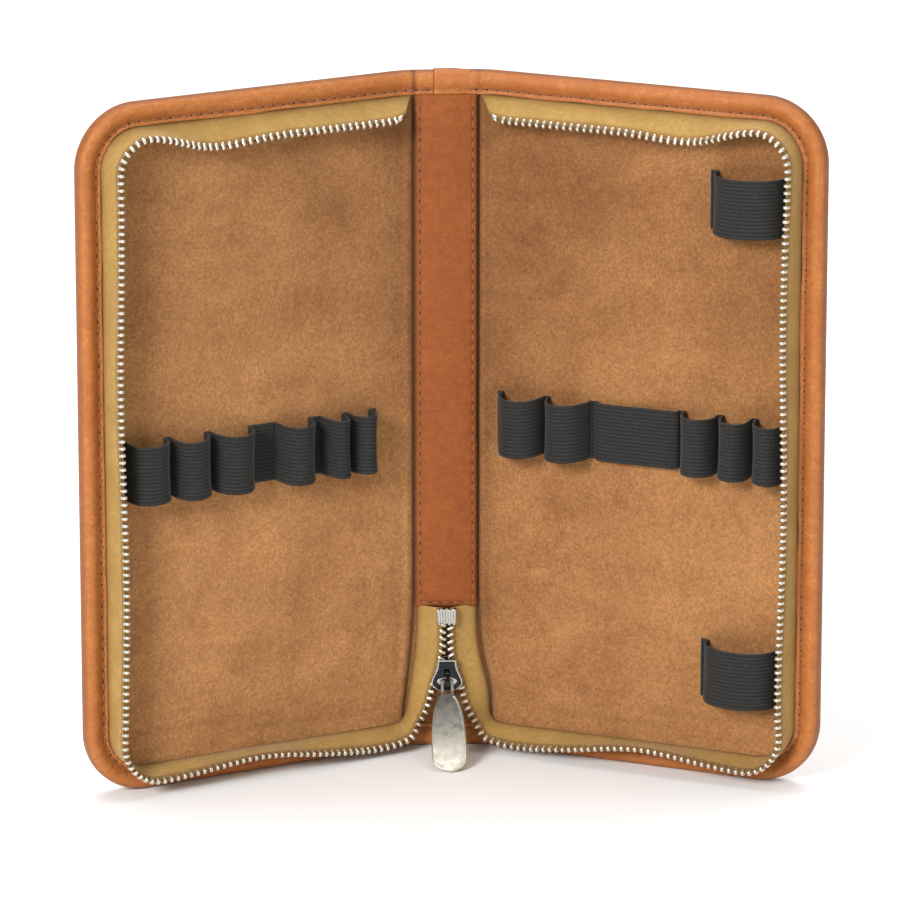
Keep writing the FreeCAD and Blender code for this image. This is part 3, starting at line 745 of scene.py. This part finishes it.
def spine_strip():
    """The leather strip down the middle of the spine, and its seam."""
    low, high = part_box("spine_strip")
    half, z0, z1 = high.x / MM, low.z / MM, high.z / MM
    top_n = CREASE_Y - low.y / MM
    inset = 1.5

    def edge_distance(x, z):
        return np.minimum(half - np.abs(x), z - z0)

    def surface(x, z):
        """Height of the strip's face: a low arch with turned edges and a sunk seam."""
        edge = edge_distance(x, z)
        arch = 0.85 * (1 - (x / half) ** 2) * ramp(z, z0 - 1, 5)
        turned = -0.6 * (1 - ramp(edge, 0, 0.9))
        seam = -0.18 * bell(edge - inset, 0.4)
        uneven = wave_noise((x, z), 5, 30.0) * 0.07 + wave_noise((x, z), 6, 8.0) * 0.025
        return top_n + arch + turned + seam + uneven

    xs = np.concatenate([[-1], np.linspace(-0.985, 0.985, 57), [1]]) * half
    zs = np.concatenate([[z0], np.linspace(z0 + 0.25, z0 + 3, 9)[:-1], np.linspace(z0 + 3, z1 + 1.6, 150)])
    x, z = np.meshgrid(xs, zs)
    verts = [place(BACK, x, n, z) for n in (surface(x, z), LINING_TOP - 0.15)]
    obj = make_object("spine_strip_leather", verts, slab_faces(*x.shape), STRIP)
    edge = edge_distance(x, z)
    # Darker at the turned edges, partly edge colour and partly painted shadow, and painted shade along the
    # sunk seam.
    set_attribute(obj, "wear_and_shade", 0.85 * bell(edge, 0.45) + 0.35 * bell(edge - inset, 0.4), grids=2)
    on_body(obj, "border_leather", "spine", "spine_strip")

    tall = np.linspace(z0 + inset, z1 + 0.5, 200)
    wide = np.linspace(-half + inset, half - inset, 60)
    lines = ((tall * 0 - half + inset, tall), (tall * 0 + half - inset, tall), (wide, wide * 0 + z0 + inset))
    runs = [(x, surface(x, z) + 0.02, z, 2.9) for x, z in lines]
    stitches = sew("spine_strip_stitches", BACK, runs, THREAD, HOLE_SHADE, 1.85, 0.27)
    on_body(stitches, "border_leather", "spine")


def border_lap():
    """The border's end lapped over its start at the top of the spine."""
    xs = np.concatenate([[-3.6, -3.45], np.linspace(-3.2, 7.6, 24)])
    lift = 0.42 * ramp(xs, -3.7, 0.5) * (1 - 0.9 * ramp(xs, 1.0, 6.0)) - 0.05
    e_step, n_step = np.gradient(BORDER_SKIN, axis=0).T
    outward = unit(np.stack([-n_step, e_step], -1))
    rings = []
    for x, up in zip(xs, lift):
        outer = BORDER_SKIN + outward * up
        inner = BORDER_SKIN - outward * 0.35
        e, n = np.concatenate([outer, inner[::-1]]).T
        rings.append(place(BACK, x, n, HIGH - e))
    shape = (len(rings), len(rings[0]))
    obj = make_object("border_lap", rings, tube_faces(*shape), BORDER)
    # The lap's end edge is drawn darker.
    wear_and_shade = np.zeros(shape)
    wear_and_shade[:2] = 0.8
    set_attribute(obj, "wear_and_shade", wear_and_shade)
    on_body(obj, "border_leather", "spine")


spine_strip()
border_lap()


# --- zip tape

# The zip's tail, from the closed chain down and out along the cover's foot:
# a point of the tape's base, then the one beside it on the tooth line, each
# as (s, n, z).
TAIL = np.array([
    (8.3, 2.1, 41.6, 1.15, 4.6, 41.2),
    (8.4, 2.1, 36.0, 1.15, 4.6, 36.0),
    (8.8, 2.1, 30.5, 1.15, 4.6, 30.5),
    (9.3, 2.1, 26.5, 1.35, 4.6, 26.5),
    (9.8, 2.1, 22.2, 2.6, 4.7, 22.4),
    (10.4, 2.1, 18.0, 4.3, 5.1, 18.2),
    (11.0, 2.1, 13.8, 5.1, 6.2, 13.9),
    (11.9, 2.2, 10.0, 6.9, 7.6, 9.9),
    (13.9, 2.3, 7.6, 10.4, 8.9, 6.4),
    (17.6, 2.2, 6.9, 15.2, 9.4, 4.2),
    (22.5, 2.1, 6.8, 21.0, 9.3, 3.3),
    (28.5, 2.0, 6.8, 27.8, 9.0, 3.0),
])
TAPE_INSET = 6.8
TAPE_RISE = 8.6
TAPE_START = CREASE + 21.0
TAPE_END = CREASE + 0.8
TAPE_FOLD = (9.0, 19.0)
CHAIN_TOP, CHAIN_LOW, CHAIN_ROWS = 36.4, 24.0, 40
RUN, TALL = REACH - CORNER, HIGH - 2 * CORNER


def lean_at(kind, share, side):
    """How far the tape leans inward, in degrees, at a share of one run of the rim."""
    if kind == "low":
        crest = (30.0 if side == FRONT else 33.0) * bell(share - 0.6, 0.27)
        corner = 8.0 * ramp(share, 0.7, 0.3)
        return -28 + crest + corner + 2.0 * math.sin(share * math.pi * 3.1)
    if kind == "fore":
        return 10.5 + 3.5 * math.sin(share * math.pi * 3 + side)
    dip = bell(share - 0.26, 0.16)
    return 7 + 44 * dip + 30 * ramp(share, 0.1, 0.5) * (1 - 0.6 * dip)


def lean_round(s, z, ds, dz, side):
    """The lean at a point of the outline: each corner turns from one run's to the next's."""
    straight = 1 - 1e-6
    if dz > straight:
        return lean_at("low", (s - CREASE) / RUN, side)
    if ds < -straight:
        return lean_at("fore", (z - CORNER) / TALL, side)
    if dz < -straight:
        return lean_at("top", (EDGE - CORNER - s) / RUN, side)
    turn = abs(math.atan2(-dz, -ds)) / (math.pi / 2)
    kind, share = ("low", 1.0) if z < HIGH / 2 else ("top", 0.0)
    return lean_at(kind, share, side) * turn + lean_at("fore", 1.0 - share, side) * (1 - turn)


def tape_row(s, z, ds, dz, lean):
    """A point of the tape's base and the one above it on the tooth line."""
    a = math.radians(lean)
    over = TAPE_RISE * math.sin(a)
    return [s, LINING_TOP, z, s + over * ds, LINING_TOP + TAPE_RISE * math.cos(a), z + over * dz]


def zip_rim(side):
    """Base and tooth lines round the cover, from the low run to the top end."""
    rows = []
    for s, z, ds, dz in rim_stations(1.5, TAPE_START):
        lean = lean_round(s, z, ds, dz, side)
        rows.append(tape_row(s + TAPE_INSET * ds, z + TAPE_INSET * dz, ds, dz, lean))
    for share in np.linspace(0, 1, 13)[1:]:
        lean = lean_at("top", (EDGE - CORNER - TAPE_START) / RUN + 0.19 * share, side)
        row = tape_row(TAPE_START + (TAPE_END - TAPE_START) * share, HIGH - TAPE_INSET, 0.0, -1.0, lean)
        row[3] = TAPE_START + (TAPE_END + 3.2 - TAPE_START) * share
        rows.append(row)
    # The end folds down under the border.
    s, n, z, tip_s, tip_n, tip_z = rows[-1]
    for share in (0.2, 0.4, 0.6, 0.8, 1.0):
        foot = s - 1.7 * share
        left = 1 - 0.9 * share
        tip = (foot + (tip_s - s) * (1 - share), n + (tip_n - n) * left, z + (tip_z - z) * left)
        rows.append([foot, n, z, *tip])
    return np.array(rows)


def catmull(points, step):
    """A smooth curve through rows of numbers, sampled about evenly."""
    padded = np.concatenate([[2 * points[0] - points[1]], points, [2 * points[-1] - points[-2]]])
    result = []
    for a, b, c, d in zip(padded, padded[1:], padded[2:], padded[3:]):
        count = max(int(np.linalg.norm((c - b)[:3]) / step), 1)
        for t in (k / count for k in range(count)):
            square, cube = 2 * a - 5 * b + 4 * c - d, 3 * b - a - 3 * c + d
            result.append(0.5 * (2 * b + (c - a) * t + square * t ** 2 + cube * t ** 3))
    return np.array(result + [points[-1]])


def smooth_tip(rows, times):
    """Rows whose tooth line is evened out; the base stays."""
    rows = rows.copy()
    for _ in range(times):
        rows[1:-1, 3:] = 0.25 * rows[:-2, 3:] + 0.5 * rows[1:-1, 3:] + 0.25 * rows[2:, 3:]
    return rows


def zip_tape(side, word, base, tip, tangent):
    """The woven tape: a bowed strip with the teeth's thick bead along its tip."""
    along = distance_along(tip)[:, None] / MM
    width = np.linalg.norm(tip - base, axis=1)[:, None] / MM
    face = unit(np.cross(tangent, tip - base))[:, None]
    flutter = wave_noise((along, 0.0), 51 + side, 30.0)
    shares = np.linspace(0, 1, 9)
    bow = (np.sin(math.pi * shares) * (0.25 + 0.35 * flutter) * MM)[..., None]
    sheet = base[:, None] + (tip - base)[:, None] * shares[:, None] + face * bow
    fat = face * np.array([1, 1, 1, 1, 1, 1, 1, 1.25, 1.7])[:, None] * 0.28 * MM
    ring = np.concatenate([sheet + fat, (sheet - fat)[:, ::-1]], axis=1)
    both = np.concatenate([shares, shares[::-1]])
    uv = np.stack(np.broadcast_arrays(along, both * width), -1)
    tape = make_object(word + "_zip_twill", ring, tube_faces(*ring.shape[:2]), TWILL, uv=uv)
    # Darker at the root under the border, as dirt and painted shade, and along the bead between the teeth as
    # painted shade.
    soil_and_shade = 0.9 * np.exp(-both * width / 0.9) + 0.7 * ramp(both, 0.8, 0.12)
    set_attribute(tape, "wear_and_shade", np.clip(soil_and_shade, 0, 1))
    nodes = (word + "_zip_tape", word + "_zip_gusset", "zip_tail_tape_" + word)
    over_crease(tape, "zip_tape", side, word, *nodes, reach=TAPE_FOLD)


def tooth(p, t, d, f, long=0.54, base=0):
    """One metal tooth: legs clamped on the tape and a rounded head beyond it.

    It stands at p, with t along the zip, d out of the tape's edge and f out of its face.
    """
    sections = (
        (-1.1, 0.3, 0.5), (-0.98, long * 0.85, 0.7), (-0.5, long, 0.84), (0.1, long, 0.86),
        (0.4, long * 0.8, 0.7), (0.8, long * 0.92, 0.74), (1.08, long * 0.8, 0.58), (1.2, long * 0.4, 0.34),
    )
    ring = ((-1, -0.6), (-0.7, -1), (0.7, -1), (1, -0.6), (1, 0.6), (0.7, 1), (-0.7, 1), (-1, 0.6))
    verts = []
    for out, half_long, half_thick in sections:
        centre = p + d * out * MM
        verts += [centre + t * a * half_long * MM + f * b * half_thick * MM for a, b in ring]
    return verts, tube_faces(len(sections), len(ring), base)


def zip_teeth(side, word, rows, tip, tangent, across):
    """The row of teeth on one tape, and the end stop after its last tooth."""
    along = distance_along(tip)
    shift = TOOTH_PITCH / 2 if side == BACK else 0.0
    first = np.interp(-CHAIN_TOP, -rows[:12, 5], along[:12]) + shift * MM
    last = along[np.nonzero(rows[:, 3] > TAPE_END + 3.6)[0][-1]]
    verts, faces = [], []
    for at in np.arange(first, last - 1.2 * MM, TOOTH_PITCH * MM):
        p, t, d = (sample(at, along, line) for line in (tip, tangent, across))
        t = unit(t)
        d = unit(d - t * np.dot(d, t))
        f = np.cross(t, d)
        slant = 0.42 * ramp(p[2] / MM, CHAIN_LOW, 4.0) * (at < along[CHAIN_ROWS])
        more, cells = tooth(p, unit(t - d * slant), unit(d + t * slant), f, base=len(verts))
        verts += more
        faces += cells
    teeth = make_object(word + "_zip_metal_teeth", verts, faces, TOOTH)
    nodes = (word + "_zip_teeth", word + "_gusset_teeth", "zip_branch_teeth_" + word)
    over_crease(teeth, "zip_metal", side, word, *nodes, *front_only(side, "zip_chain_tail"), reach=TAPE_FOLD)

    p, t, d = (sample(last, along, line) for line in (tip, tangent, across))
    stop = make_object(word + "_zip_end_stop", *tooth(p, t, d, np.cross(t, d), long=1.1), TOOTH)
    over_crease(stop, "zip_metal", side, word, word + "_top_stop", reach=TAPE_FOLD)


for side, word in SIDES:
    tail = TAIL.copy()
    tail[:, 0] += side_slack(side, tail[:, 2])
    rows = smooth_tip(catmull(np.concatenate([tail, zip_rim(side)]), 0.9), 10)
    base, tip = place(side, *rows[:, :3].T), place(side, *rows[:, 3:].T)
    tangent = unit(np.gradient(tip, axis=0))
    zip_tape(side, word, base, tip, tangent)
    zip_teeth(side, word, rows, tip, tangent, unit(tip - base))


# --- slider, pull, retainer


def on_spine(co):
    """Outline x and y lie along x and z, depth along n."""
    return Vector((co.x * MM, (CREASE_Y - co.z) * MM, co.y * MM))


def side_on_spine(co):
    """Outline x and y lie along n and z, depth along x."""
    return Vector((co.z * MM, (CREASE_Y - co.x) * MM, co.y * MM))


def extrude(outline, depth0, depth1, bevel, to_world=on_spine, material=SLIDER, segments=3):
    """A solid between two depths of a closed outline, with its edges rounded."""
    bm = bmesh.new()
    low = [bm.verts.new((x, y, depth0)) for x, y in outline]
    high = [bm.verts.new((x, y, depth1)) for x, y in outline]
    bm.faces.new(low)
    bm.faces.new(high[::-1])
    for i in range(len(outline)):
        j = (i + 1) % len(outline)
        bm.faces.new((low[i], high[i], high[j], low[j]))
    bmesh.ops.recalc_face_normals(bm, faces=bm.faces)
    sharp = [e for e in bm.edges if e.calc_face_angle(0) > math.radians(35)]
    bmesh.ops.bevel(
        bm, geom=sharp, offset=bevel, segments=segments, profile=0.6, affect="EDGES", clamp_overlap=True,
    )
    layer = bm.loops.layers.uv.new("UVMap")
    for face in bm.faces:
        face.smooth = True
        for loop in face.loops:
            loop[layer].uv = loop.vert.co.xy
    for v in bm.verts:
        v.co = to_world(v.co)
    bmesh.ops.recalc_face_normals(bm, faces=bm.faces)
    mesh = bpy.data.meshes.new("solid")
    bm.to_mesh(mesh)
    bm.free()
    mesh.materials.append(material)
    return add_object("solid", mesh)


def join(name, *objects):
    """Merge several pieces into the first, with face-weighted normals."""
    first = objects[0]
    bm = bmesh.new()
    for obj in objects:
        bm.from_mesh(obj.data)
    bm.to_mesh(first.data)
    bm.free()
    for obj in objects[1:]:
        bpy.data.objects.remove(obj)
    first.modifiers.new("weighted", "WEIGHTED_NORMAL").keep_sharp = True
    graph = bpy.context.evaluated_depsgraph_get()
    mesh = bpy.data.meshes.new_from_object(first.evaluated_get(graph))
    first.modifiers.clear()
    first.data = mesh
    first.name = mesh.name = name
    return first


def raised(z0, *points):
    return [(x, z0 + z) for x, z in points]


def slider_outline(z0, z1, inset):
    """The shield shape of a slider plate, drawn inside its edge by inset."""
    half = [(0, z0 - 0.1 + inset)]
    for a in np.linspace(0.15, 1.0, 9) * math.pi / 2:
        half.append(((4.5 - inset) * math.sin(a), z0 + 2.6 - (2.6 - inset) * math.cos(a)))
    edge = raised(z0, (4.3, 3.6), (3.65, 5.0), (2.95, 6.5), (2.7, 8.0)) + [(2.7, z1 - 0.4)]
    half += [(x - inset, min(z, z1 - inset - 0.1)) for x, z in edge]
    half += [(2.5 - inset, z1 - inset), (0, z1 - inset)]
    return half + [(-x, z) for x, z in reversed(half[1:-1])]


def build_slider():
    """A shield-shaped plate over a rear plate, with its dark face, bridge and a raised light nickel oval that
    paints a highlight on the face.
    """
    low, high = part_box("slider_body")
    z0, z1 = low.z / MM, high.z / MM
    outline = slider_outline(z0, z1, 0.0)
    wedge = raised(z0, (-0.9, 2.4), (0, 0.2), (0.9, 2.4), (0, 3.4))
    parts = [
        extrude(outline, 6.0, 6.85, 0.3),
        extrude(outline, 2.3, 3.1, 0.22),
        extrude(wedge, 2.6, 6.5, 0.1),
    ]
    edge = raised(z0, (4.15, 3.1), (4.05, 4.0), (3.55, 5.4), (2.95, 6.9)) + [(2.7, z1 - 0.5)]
    flange = edge + [(x - 0.5, z) for x, z in reversed(edge)]
    for sign in (-1, 1):
        outline = [(sign * x, z) for x, z in flange]
        parts.append(extrude(outline, 5.0, 6.4, 0.15, segments=2))
    on_body(join("zip_slider", *parts), "slider_metal", "slider", "slider_body")

    arch = raised(
        z0, (6.6, 1.1), (8.2, 1.05), (9.1, 1.25), (9.65, 1.9), (9.8, 2.9), (9.7, 4.2), (9.2, 5.4), (8.4, 6.2),
        (6.6, 6.8), (6.6, 5.6), (8.0, 5.2), (8.6, 4.6), (8.85, 3.8), (8.85, 3.0), (8.75, 2.4), (8.4, 2.2),
        (6.6, 2.15),
    )
    inlay = extrude(slider_outline(z0, z1, 0.45), 6.6, 7.02, 0.16, material=FACE)
    bridge = extrude(arch, -0.8, 0.8, 0.3, side_on_spine, FACE)
    on_body(join("zip_slider_face", inlay, bridge), "slider_metal", "slider")

    # Painted highlight: a raised oval of light nickel on the dark face stands for the lamps' reflection
    # there.
    turns = (2 * math.pi * k / 28 for k in range(28))
    oval = [(2.85 * math.cos(a), z0 + 3.05 + 1.25 * math.sin(a) + 0.1 * math.cos(a) ** 2) for a in turns]
    highlight_boss = extrude(oval, 6.8, 7.14, 0.1)
    on_body(join("zip_slider_highlight_boss", highlight_boss), "slider_metal", "slider")


# The pull's half widths at places down its length, and its rim's section as
# (inset, height). A negative bow dishes its face.
PULL_WIDTHS = np.array([
    (-3.9, 1.75), (-4.3, 2.1), (-4.9, 2.6), (-5.7, 3.1), (-6.7, 3.5), (-7.9, 3.85), (-9.3, 4.15),
    (-11.2, 4.45), (-13.6, 4.68), (-16.0, 4.82), (-18.6, 4.9), (-21.2, 4.92), (-23.3, 4.88),
    (-24.7, 4.62), (-25.9, 4.05), (-26.8, 3.2), (-27.4, 2.2), (-27.8, 1.2), (-27.95, 0.4),
])
PULL_RIM = ((0.0, 0.0), (0.03, 0.2), (0.14, 0.38), (0.3, 0.45), (0.55, 0.45), (0.8, 0.36), (1.2, 0.33))
PULL_BOW = -0.005
PULL_PIVOT = Vector((0, CREASE_Y - 7.85, 20.35))
PULL_HANG = Matrix.Rotation(math.radians(-45), 3, "X")


def hang(co):
    """Outline x and y lie along x and the pull's length, depth through its sheet."""
    return (PULL_PIVOT + PULL_HANG @ Vector((co[0], -co[2], co[1]))) * MM


def pull_leaf():
    """The drop of the pull: a thin blade with a rounded rim and a dished face."""
    rows = []
    for y, w in PULL_WIDTHS:
        scale = min(1.0, w / 1.6)
        right = [(w - inset * scale, n * min(1.0, 0.55 + w)) for inset, n in PULL_RIM]
        top = right + [(0.0, right[-1][1])] + [(-x, n) for x, n in reversed(right)]
        bottom = [(-x, -n) for x, n in right[1:]] + [(x, -n) for x, n in reversed(right[1:])]
        bow = PULL_BOW * (PULL_WIDTHS[0, 0] - y) * (y - PULL_WIDTHS[-1, 0])
        rows.append([hang((x, y, n + bow)) for x, n in top + bottom])
    shape = (len(rows), len(rows[0]))
    flat = [[(x, y) for x in np.linspace(-w, w, shape[1])] for y, w in PULL_WIDTHS]
    return make_object("leaf", rows, tube_faces(*shape), PULL, uv=flat)


def build_pull():
    """The pull's leaf, with two arms and a bar that hook under the bridge."""
    bar = [(-1.75, -0.45), (1.75, -0.45), (1.7, 0.2), (1.25, 0.45), (-1.25, 0.45), (-1.7, 0.2)]
    parts = [pull_leaf(), extrude(bar, -0.45, 0.45, 0.16, hang, PULL)]
    for sign in (-1, 1):
        arm = [(sign * x, y) for x, y in ((0.95, -0.2), (1.8, -0.2), (1.85, -4.6), (0.95, -4.6))]
        parts.append(extrude(arm, -0.44, 0.44, 0.14, hang, PULL))
    on_body(join("zip_pull", *parts), "pull_metal", "pull", "pull_tab")


def build_retainer():
    """The box that holds the zip's closed end, with four ribs."""
    low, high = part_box("zip_retainer")
    z0, z1 = low.z / MM, high.z / MM + 0.6
    block = raised(z0, (-2.75, 0.3), (-2.4, 0.1), (2.4, 0.1), (2.75, 0.3)) + [(2.85, z1), (-2.85, z1)]
    parts = [extrude(block, 2.2, 5.2, 0.2)]
    for x in (-2.3, -0.77, 0.77, 2.3):
        rib = [(x * 0.9 - 0.42, z0), (x * 0.9 + 0.42, z0), (x + 0.45, z1), (x - 0.45, z1)]
        parts.append(extrude(rib, 4.4, 6.25, 0.34))
    on_body(join("zip_retainer_box", *parts), "zip_metal", "spine", "zip_retainer")


build_slider()
build_pull()
build_retainer()


# --- elastic loops

# Each cover's elastics: a name, the height of the tops, the middle of the band's
# width, and for each arch its foot, two walls and other foot, outward from the
# crease.
LOOPS = {
    FRONT: [("front_pen_loop_{}", 10.9, 92.0, [
        (74.6, 74.9, 87.3, 89.0), (62.4, 62.7, 74.2, 74.5), (48.9, 49.2, 62.0, 62.3),
        (30.3, 30.8, 42.0, 48.8), (20.2, 20.4, 28.1, 30.2), (10.6, 12.1, 19.8, 20.1),
    ])],
    BACK: [
        ("back_pen_loop_{}", 10.9, 96.0, [(4.6, 5.6, 18.9, 19.1), (19.2, 19.4, 32.4, 33.0)]),
        ("ruler_loop", 4.8, 96.0, [(33.1, 33.8, 58.8, 59.3)]),
        ("refill_loop_{}", 10.9, 96.0, [
            (59.4, 59.8, 70.2, 70.5), (70.6, 70.9, 80.2, 80.5), (80.6, 80.9, 90.2, 91.6),
        ]),
        ("eraser_loop", 10.9, 31.0, [(65.6, 67.1, 89.1, 90.6)]),
        ("sharpener_loop", 10.9, 165.0, [(67.1, 68.6, 89.6, 91.1)]),
    ],
}
BAND = 16.5
SKIN = 0.4
BAND_SHARES = np.array([0.0, 0.02, 0.06, 0.12, 0.2, 0.3, 0.4, 0.5, 0.6, 0.7, 0.8, 0.88, 0.94, 0.98, 1.0])
BAND_THICKNESS = np.array([0.45, 0.85, 1, 1, 1, 1, 1, 1, 1, 1, 1, 1, 1, 0.85, 0.45]) * SKIN


def arch_line(foot0, wall0, wall1, foot1, top):
    """The middle line of a band: a flat foot, a full round arch, a flat foot."""
    floor = LINING_TOP + SKIN
    half = (wall1 - wall0) / 2 - SKIN
    centre = (wall0 + wall1) / 2
    tall = top - SKIN - floor
    power = 4.5 if tall < 4 else 2.5 if half > tall * 0.8 else 2.1
    points = [(foot0, floor), ((foot0 + wall0) / 2, floor)]
    for a in np.linspace(0, math.pi, 37):
        c, k = math.cos(math.pi - a), math.sin(a)
        x = centre + half * math.copysign(abs(c) ** (2 / power), c)
        points.append((x, floor + tall * abs(k) ** (2 / power)))
    return np.array(points + [((foot1 + wall1) / 2, floor), (foot1, floor)])


def build_loop(side, word, name, arch, top, band_z, seed):
    """One arch of elastic, with thinner hems that curl and a waist that pulls in."""
    line = arch_line(*arch, top)
    line = catmull(np.concatenate([line, line[:, :1] * 0], axis=1), 0.35)[:, :2]
    tangent = unit(np.gradient(line, axis=0))
    normal = np.stack([-tangent[:, 1], tangent[:, 0]], -1)
    along = distance_along(line)
    high_up = ramp(line[:, 1], LINING_TOP + 1.0, 5.0)
    tilt = (np.random.default_rng(seed).random() - 0.5) * 0.7
    outer, inner = [], []
    for share, thick in zip(BAND_SHARES, BAND_THICKNESS):
        waist = -0.35 * math.sin(math.pi * share) * high_up
        curl = 0.28 * (2 * abs(share - 0.5)) ** 6 * high_up
        middle = line + normal * (waist * 0.5 + curl)[:, None] * 0.9
        middle[:, 0] += CREASE + tilt * (share - 0.5) * high_up
        sway = 0.25 * np.sin(along / along[-1] * 2 * math.pi + seed) * high_up
        z = band_z + (share - 0.5) * BAND + sway
        outer.append(place(side, *(middle + normal * thick).T, z))
        inner.append(place(side, *(middle - normal * thick).T, z))
    ring = np.array(outer + inner[::-1]).transpose(1, 0, 2)
    v = np.concatenate([BAND_SHARES, BAND_SHARES[::-1]]) * BAND
    uv = np.stack(np.broadcast_arrays(along[:, None], v), -1)
    obj = make_object(name + "_elastic", ring, tube_faces(*ring.shape[:2]), ELASTIC, uv=uv)
    on_body(obj, "elastic", word + "_cover", name)


def loop_stitches(side, word):
    """Sewn lines that hold each band down between its arches."""
    feet = {}
    for _, _, band_z, arches in LOOPS[side]:
        for foot0, _, _, foot1 in arches:
            feet.setdefault(band_z, []).extend((foot0 + 0.25, foot1 - 0.25))
    runs = []
    for band_z, places in feet.items():
        z = np.linspace(band_z - BAND / 2 + 0.4, band_z + BAND / 2 - 0.4, 50)
        last = -math.inf
        for u in sorted(places):
            if u - last > 0.9:
                runs.append((CREASE + u, LINING_TOP + 2 * SKIN + 0.02, z, 1.3))
                last = u
    obj = sew(word + "_loop_stitches", side, runs, BLACK_THREAD, None, 1.25, 0.2)
    on_body(obj, "elastic", word + "_cover")


for side, word in SIDES:
    seed = 100 + 20 * (side + 1)
    for name, top, band_z, arches in LOOPS[side]:
        for number, arch in enumerate(arches, 1):
            build_loop(side, word, name.format(number), arch, top, band_z, seed)
            seed += 1
    loop_stitches(side, word)


# --- emblem


def build_emblem():
    """A plain debossed roundel: a ring round a four-leaf pattern."""
    radius, centre_u, centre_z = 8.2, REACH - 23.8, 23.8
    rings, spokes = 70, 128
    r = np.linspace(0, 1, rings)[:, None]
    a = np.linspace(0, 2 * math.pi, spokes, endpoint=False)[None, :]
    leaf = ramp(np.abs(np.cos(2 * a)) ** 1.4 * 0.66 - r, 0, 0.05)
    ring = ramp(r, 0.78, 0.03) * ramp(-r, -0.88, 0.03)
    rim = ramp(r, 0.95, 0.05)
    depth = 0.16 - 0.14 * leaf - 0.14 * ring - 0.2 * rim - 0.35 * (r > 0.995)
    s = CREASE + centre_u + radius * r * np.cos(a)
    z = centre_z + radius * r * np.sin(a)
    n = -1.4 - outside_relief(FRONT, s, z) + depth
    obj = make_object("cover_roundel", place(FRONT, s, n, z), grid_faces(rings, spokes, wrap=True), STAMP)
    set_attribute(obj, "wear_and_shade", np.clip(0.85 * (leaf + ring) + 0.6 * rim * (r < 0.99), 0, 1))
    on_body(obj, "cover_leather", "front_cover")


build_emblem()


# --- stage


def build_floor():
    half = 6.0
    verts = [(-half, -half, 0), (half, -half, 0), (half, half, 0), (-half, half, 0)]
    m = Shader("floor_card")
    colour = m.mix(m.noise(0.02, 2.0, 0.5), (0.86, 0.86, 0.86), (0.9, 0.9, 0.9))
    card = m.finish(Base_Color=colour, Roughness=0.9)
    make_object("floor", verts, [(0, 1, 2, 3)], card)


def build_world():
    """A white studio: bright round the horizon and darker overhead."""
    world = bpy.data.worlds.new("studio")
    world.use_nodes = True
    nodes, links = world.node_tree.nodes, world.node_tree.links
    coords = nodes.new("ShaderNodeTexCoord")
    split = nodes.new("ShaderNodeSeparateXYZ")
    ramp = nodes.new("ShaderNodeValToRGB")
    links.new(coords.outputs["Generated"], split.inputs[0])
    links.new(split.outputs["Z"], ramp.inputs["Fac"])
    stops = ramp.color_ramp.elements
    stops[0].color = (0.75, 0.75, 0.75, 1.0)
    stops[1].color = (0.22, 0.22, 0.23, 1.0)
    for position, grey in ((0.25, 1.0), (0.6, 1.0), (0.85, 0.3)):
        stops.new(position).color = (grey, grey, grey, 1.0)
    background = nodes["Background"]
    links.new(ramp.outputs["Color"], background.inputs["Color"])
    background.inputs["Strength"].default_value = 0.62
    bpy.context.scene.world = world


def aim(obj, location, target):
    obj.location = location
    obj.rotation_euler = (Vector(target) - Vector(location)).to_track_quat("-Z", "Y").to_euler()


def add_lamp(name, power, size, location):
    data = bpy.data.lights.new(name, "AREA")
    data.energy = power
    data.shape = "RECTANGLE"
    data.size, data.size_y = size
    aim(add_object(name, data), location, (0, 0, 0.09))


def add_camera(azimuth, elevation, distance, target):
    """A long lens, turned by azimuth from straight ahead and raised by elevation."""
    a, e = math.radians(azimuth), math.radians(elevation)
    away = Vector((math.sin(a) * math.cos(e), -math.cos(a) * math.cos(e), math.sin(e))) * distance
    data = bpy.data.cameras.new("camera")
    data.lens = 276.0
    data.clip_end = 50.0
    data.dof.use_dof = False
    camera = add_object("camera", data)
    aim(camera, Vector(target) + away, target)
    bpy.context.scene.camera = camera


build_floor()
build_world()
add_lamp("key", 140.0, (1.1, 1.1), (-1.9, -2.8, 1.9))
add_lamp("fill", 10.0, (2.4, 2.4), (2.6, -2.0, 1.2))
add_lamp("top", 135.0, (4.0, 3.0), (0.2, 0.9, 3.6))
add_camera(-2.5, 16.0, 1.9, (0.0, -0.006, 0.0945))
bpy.context.scene.view_settings.view_transform = "Standard"
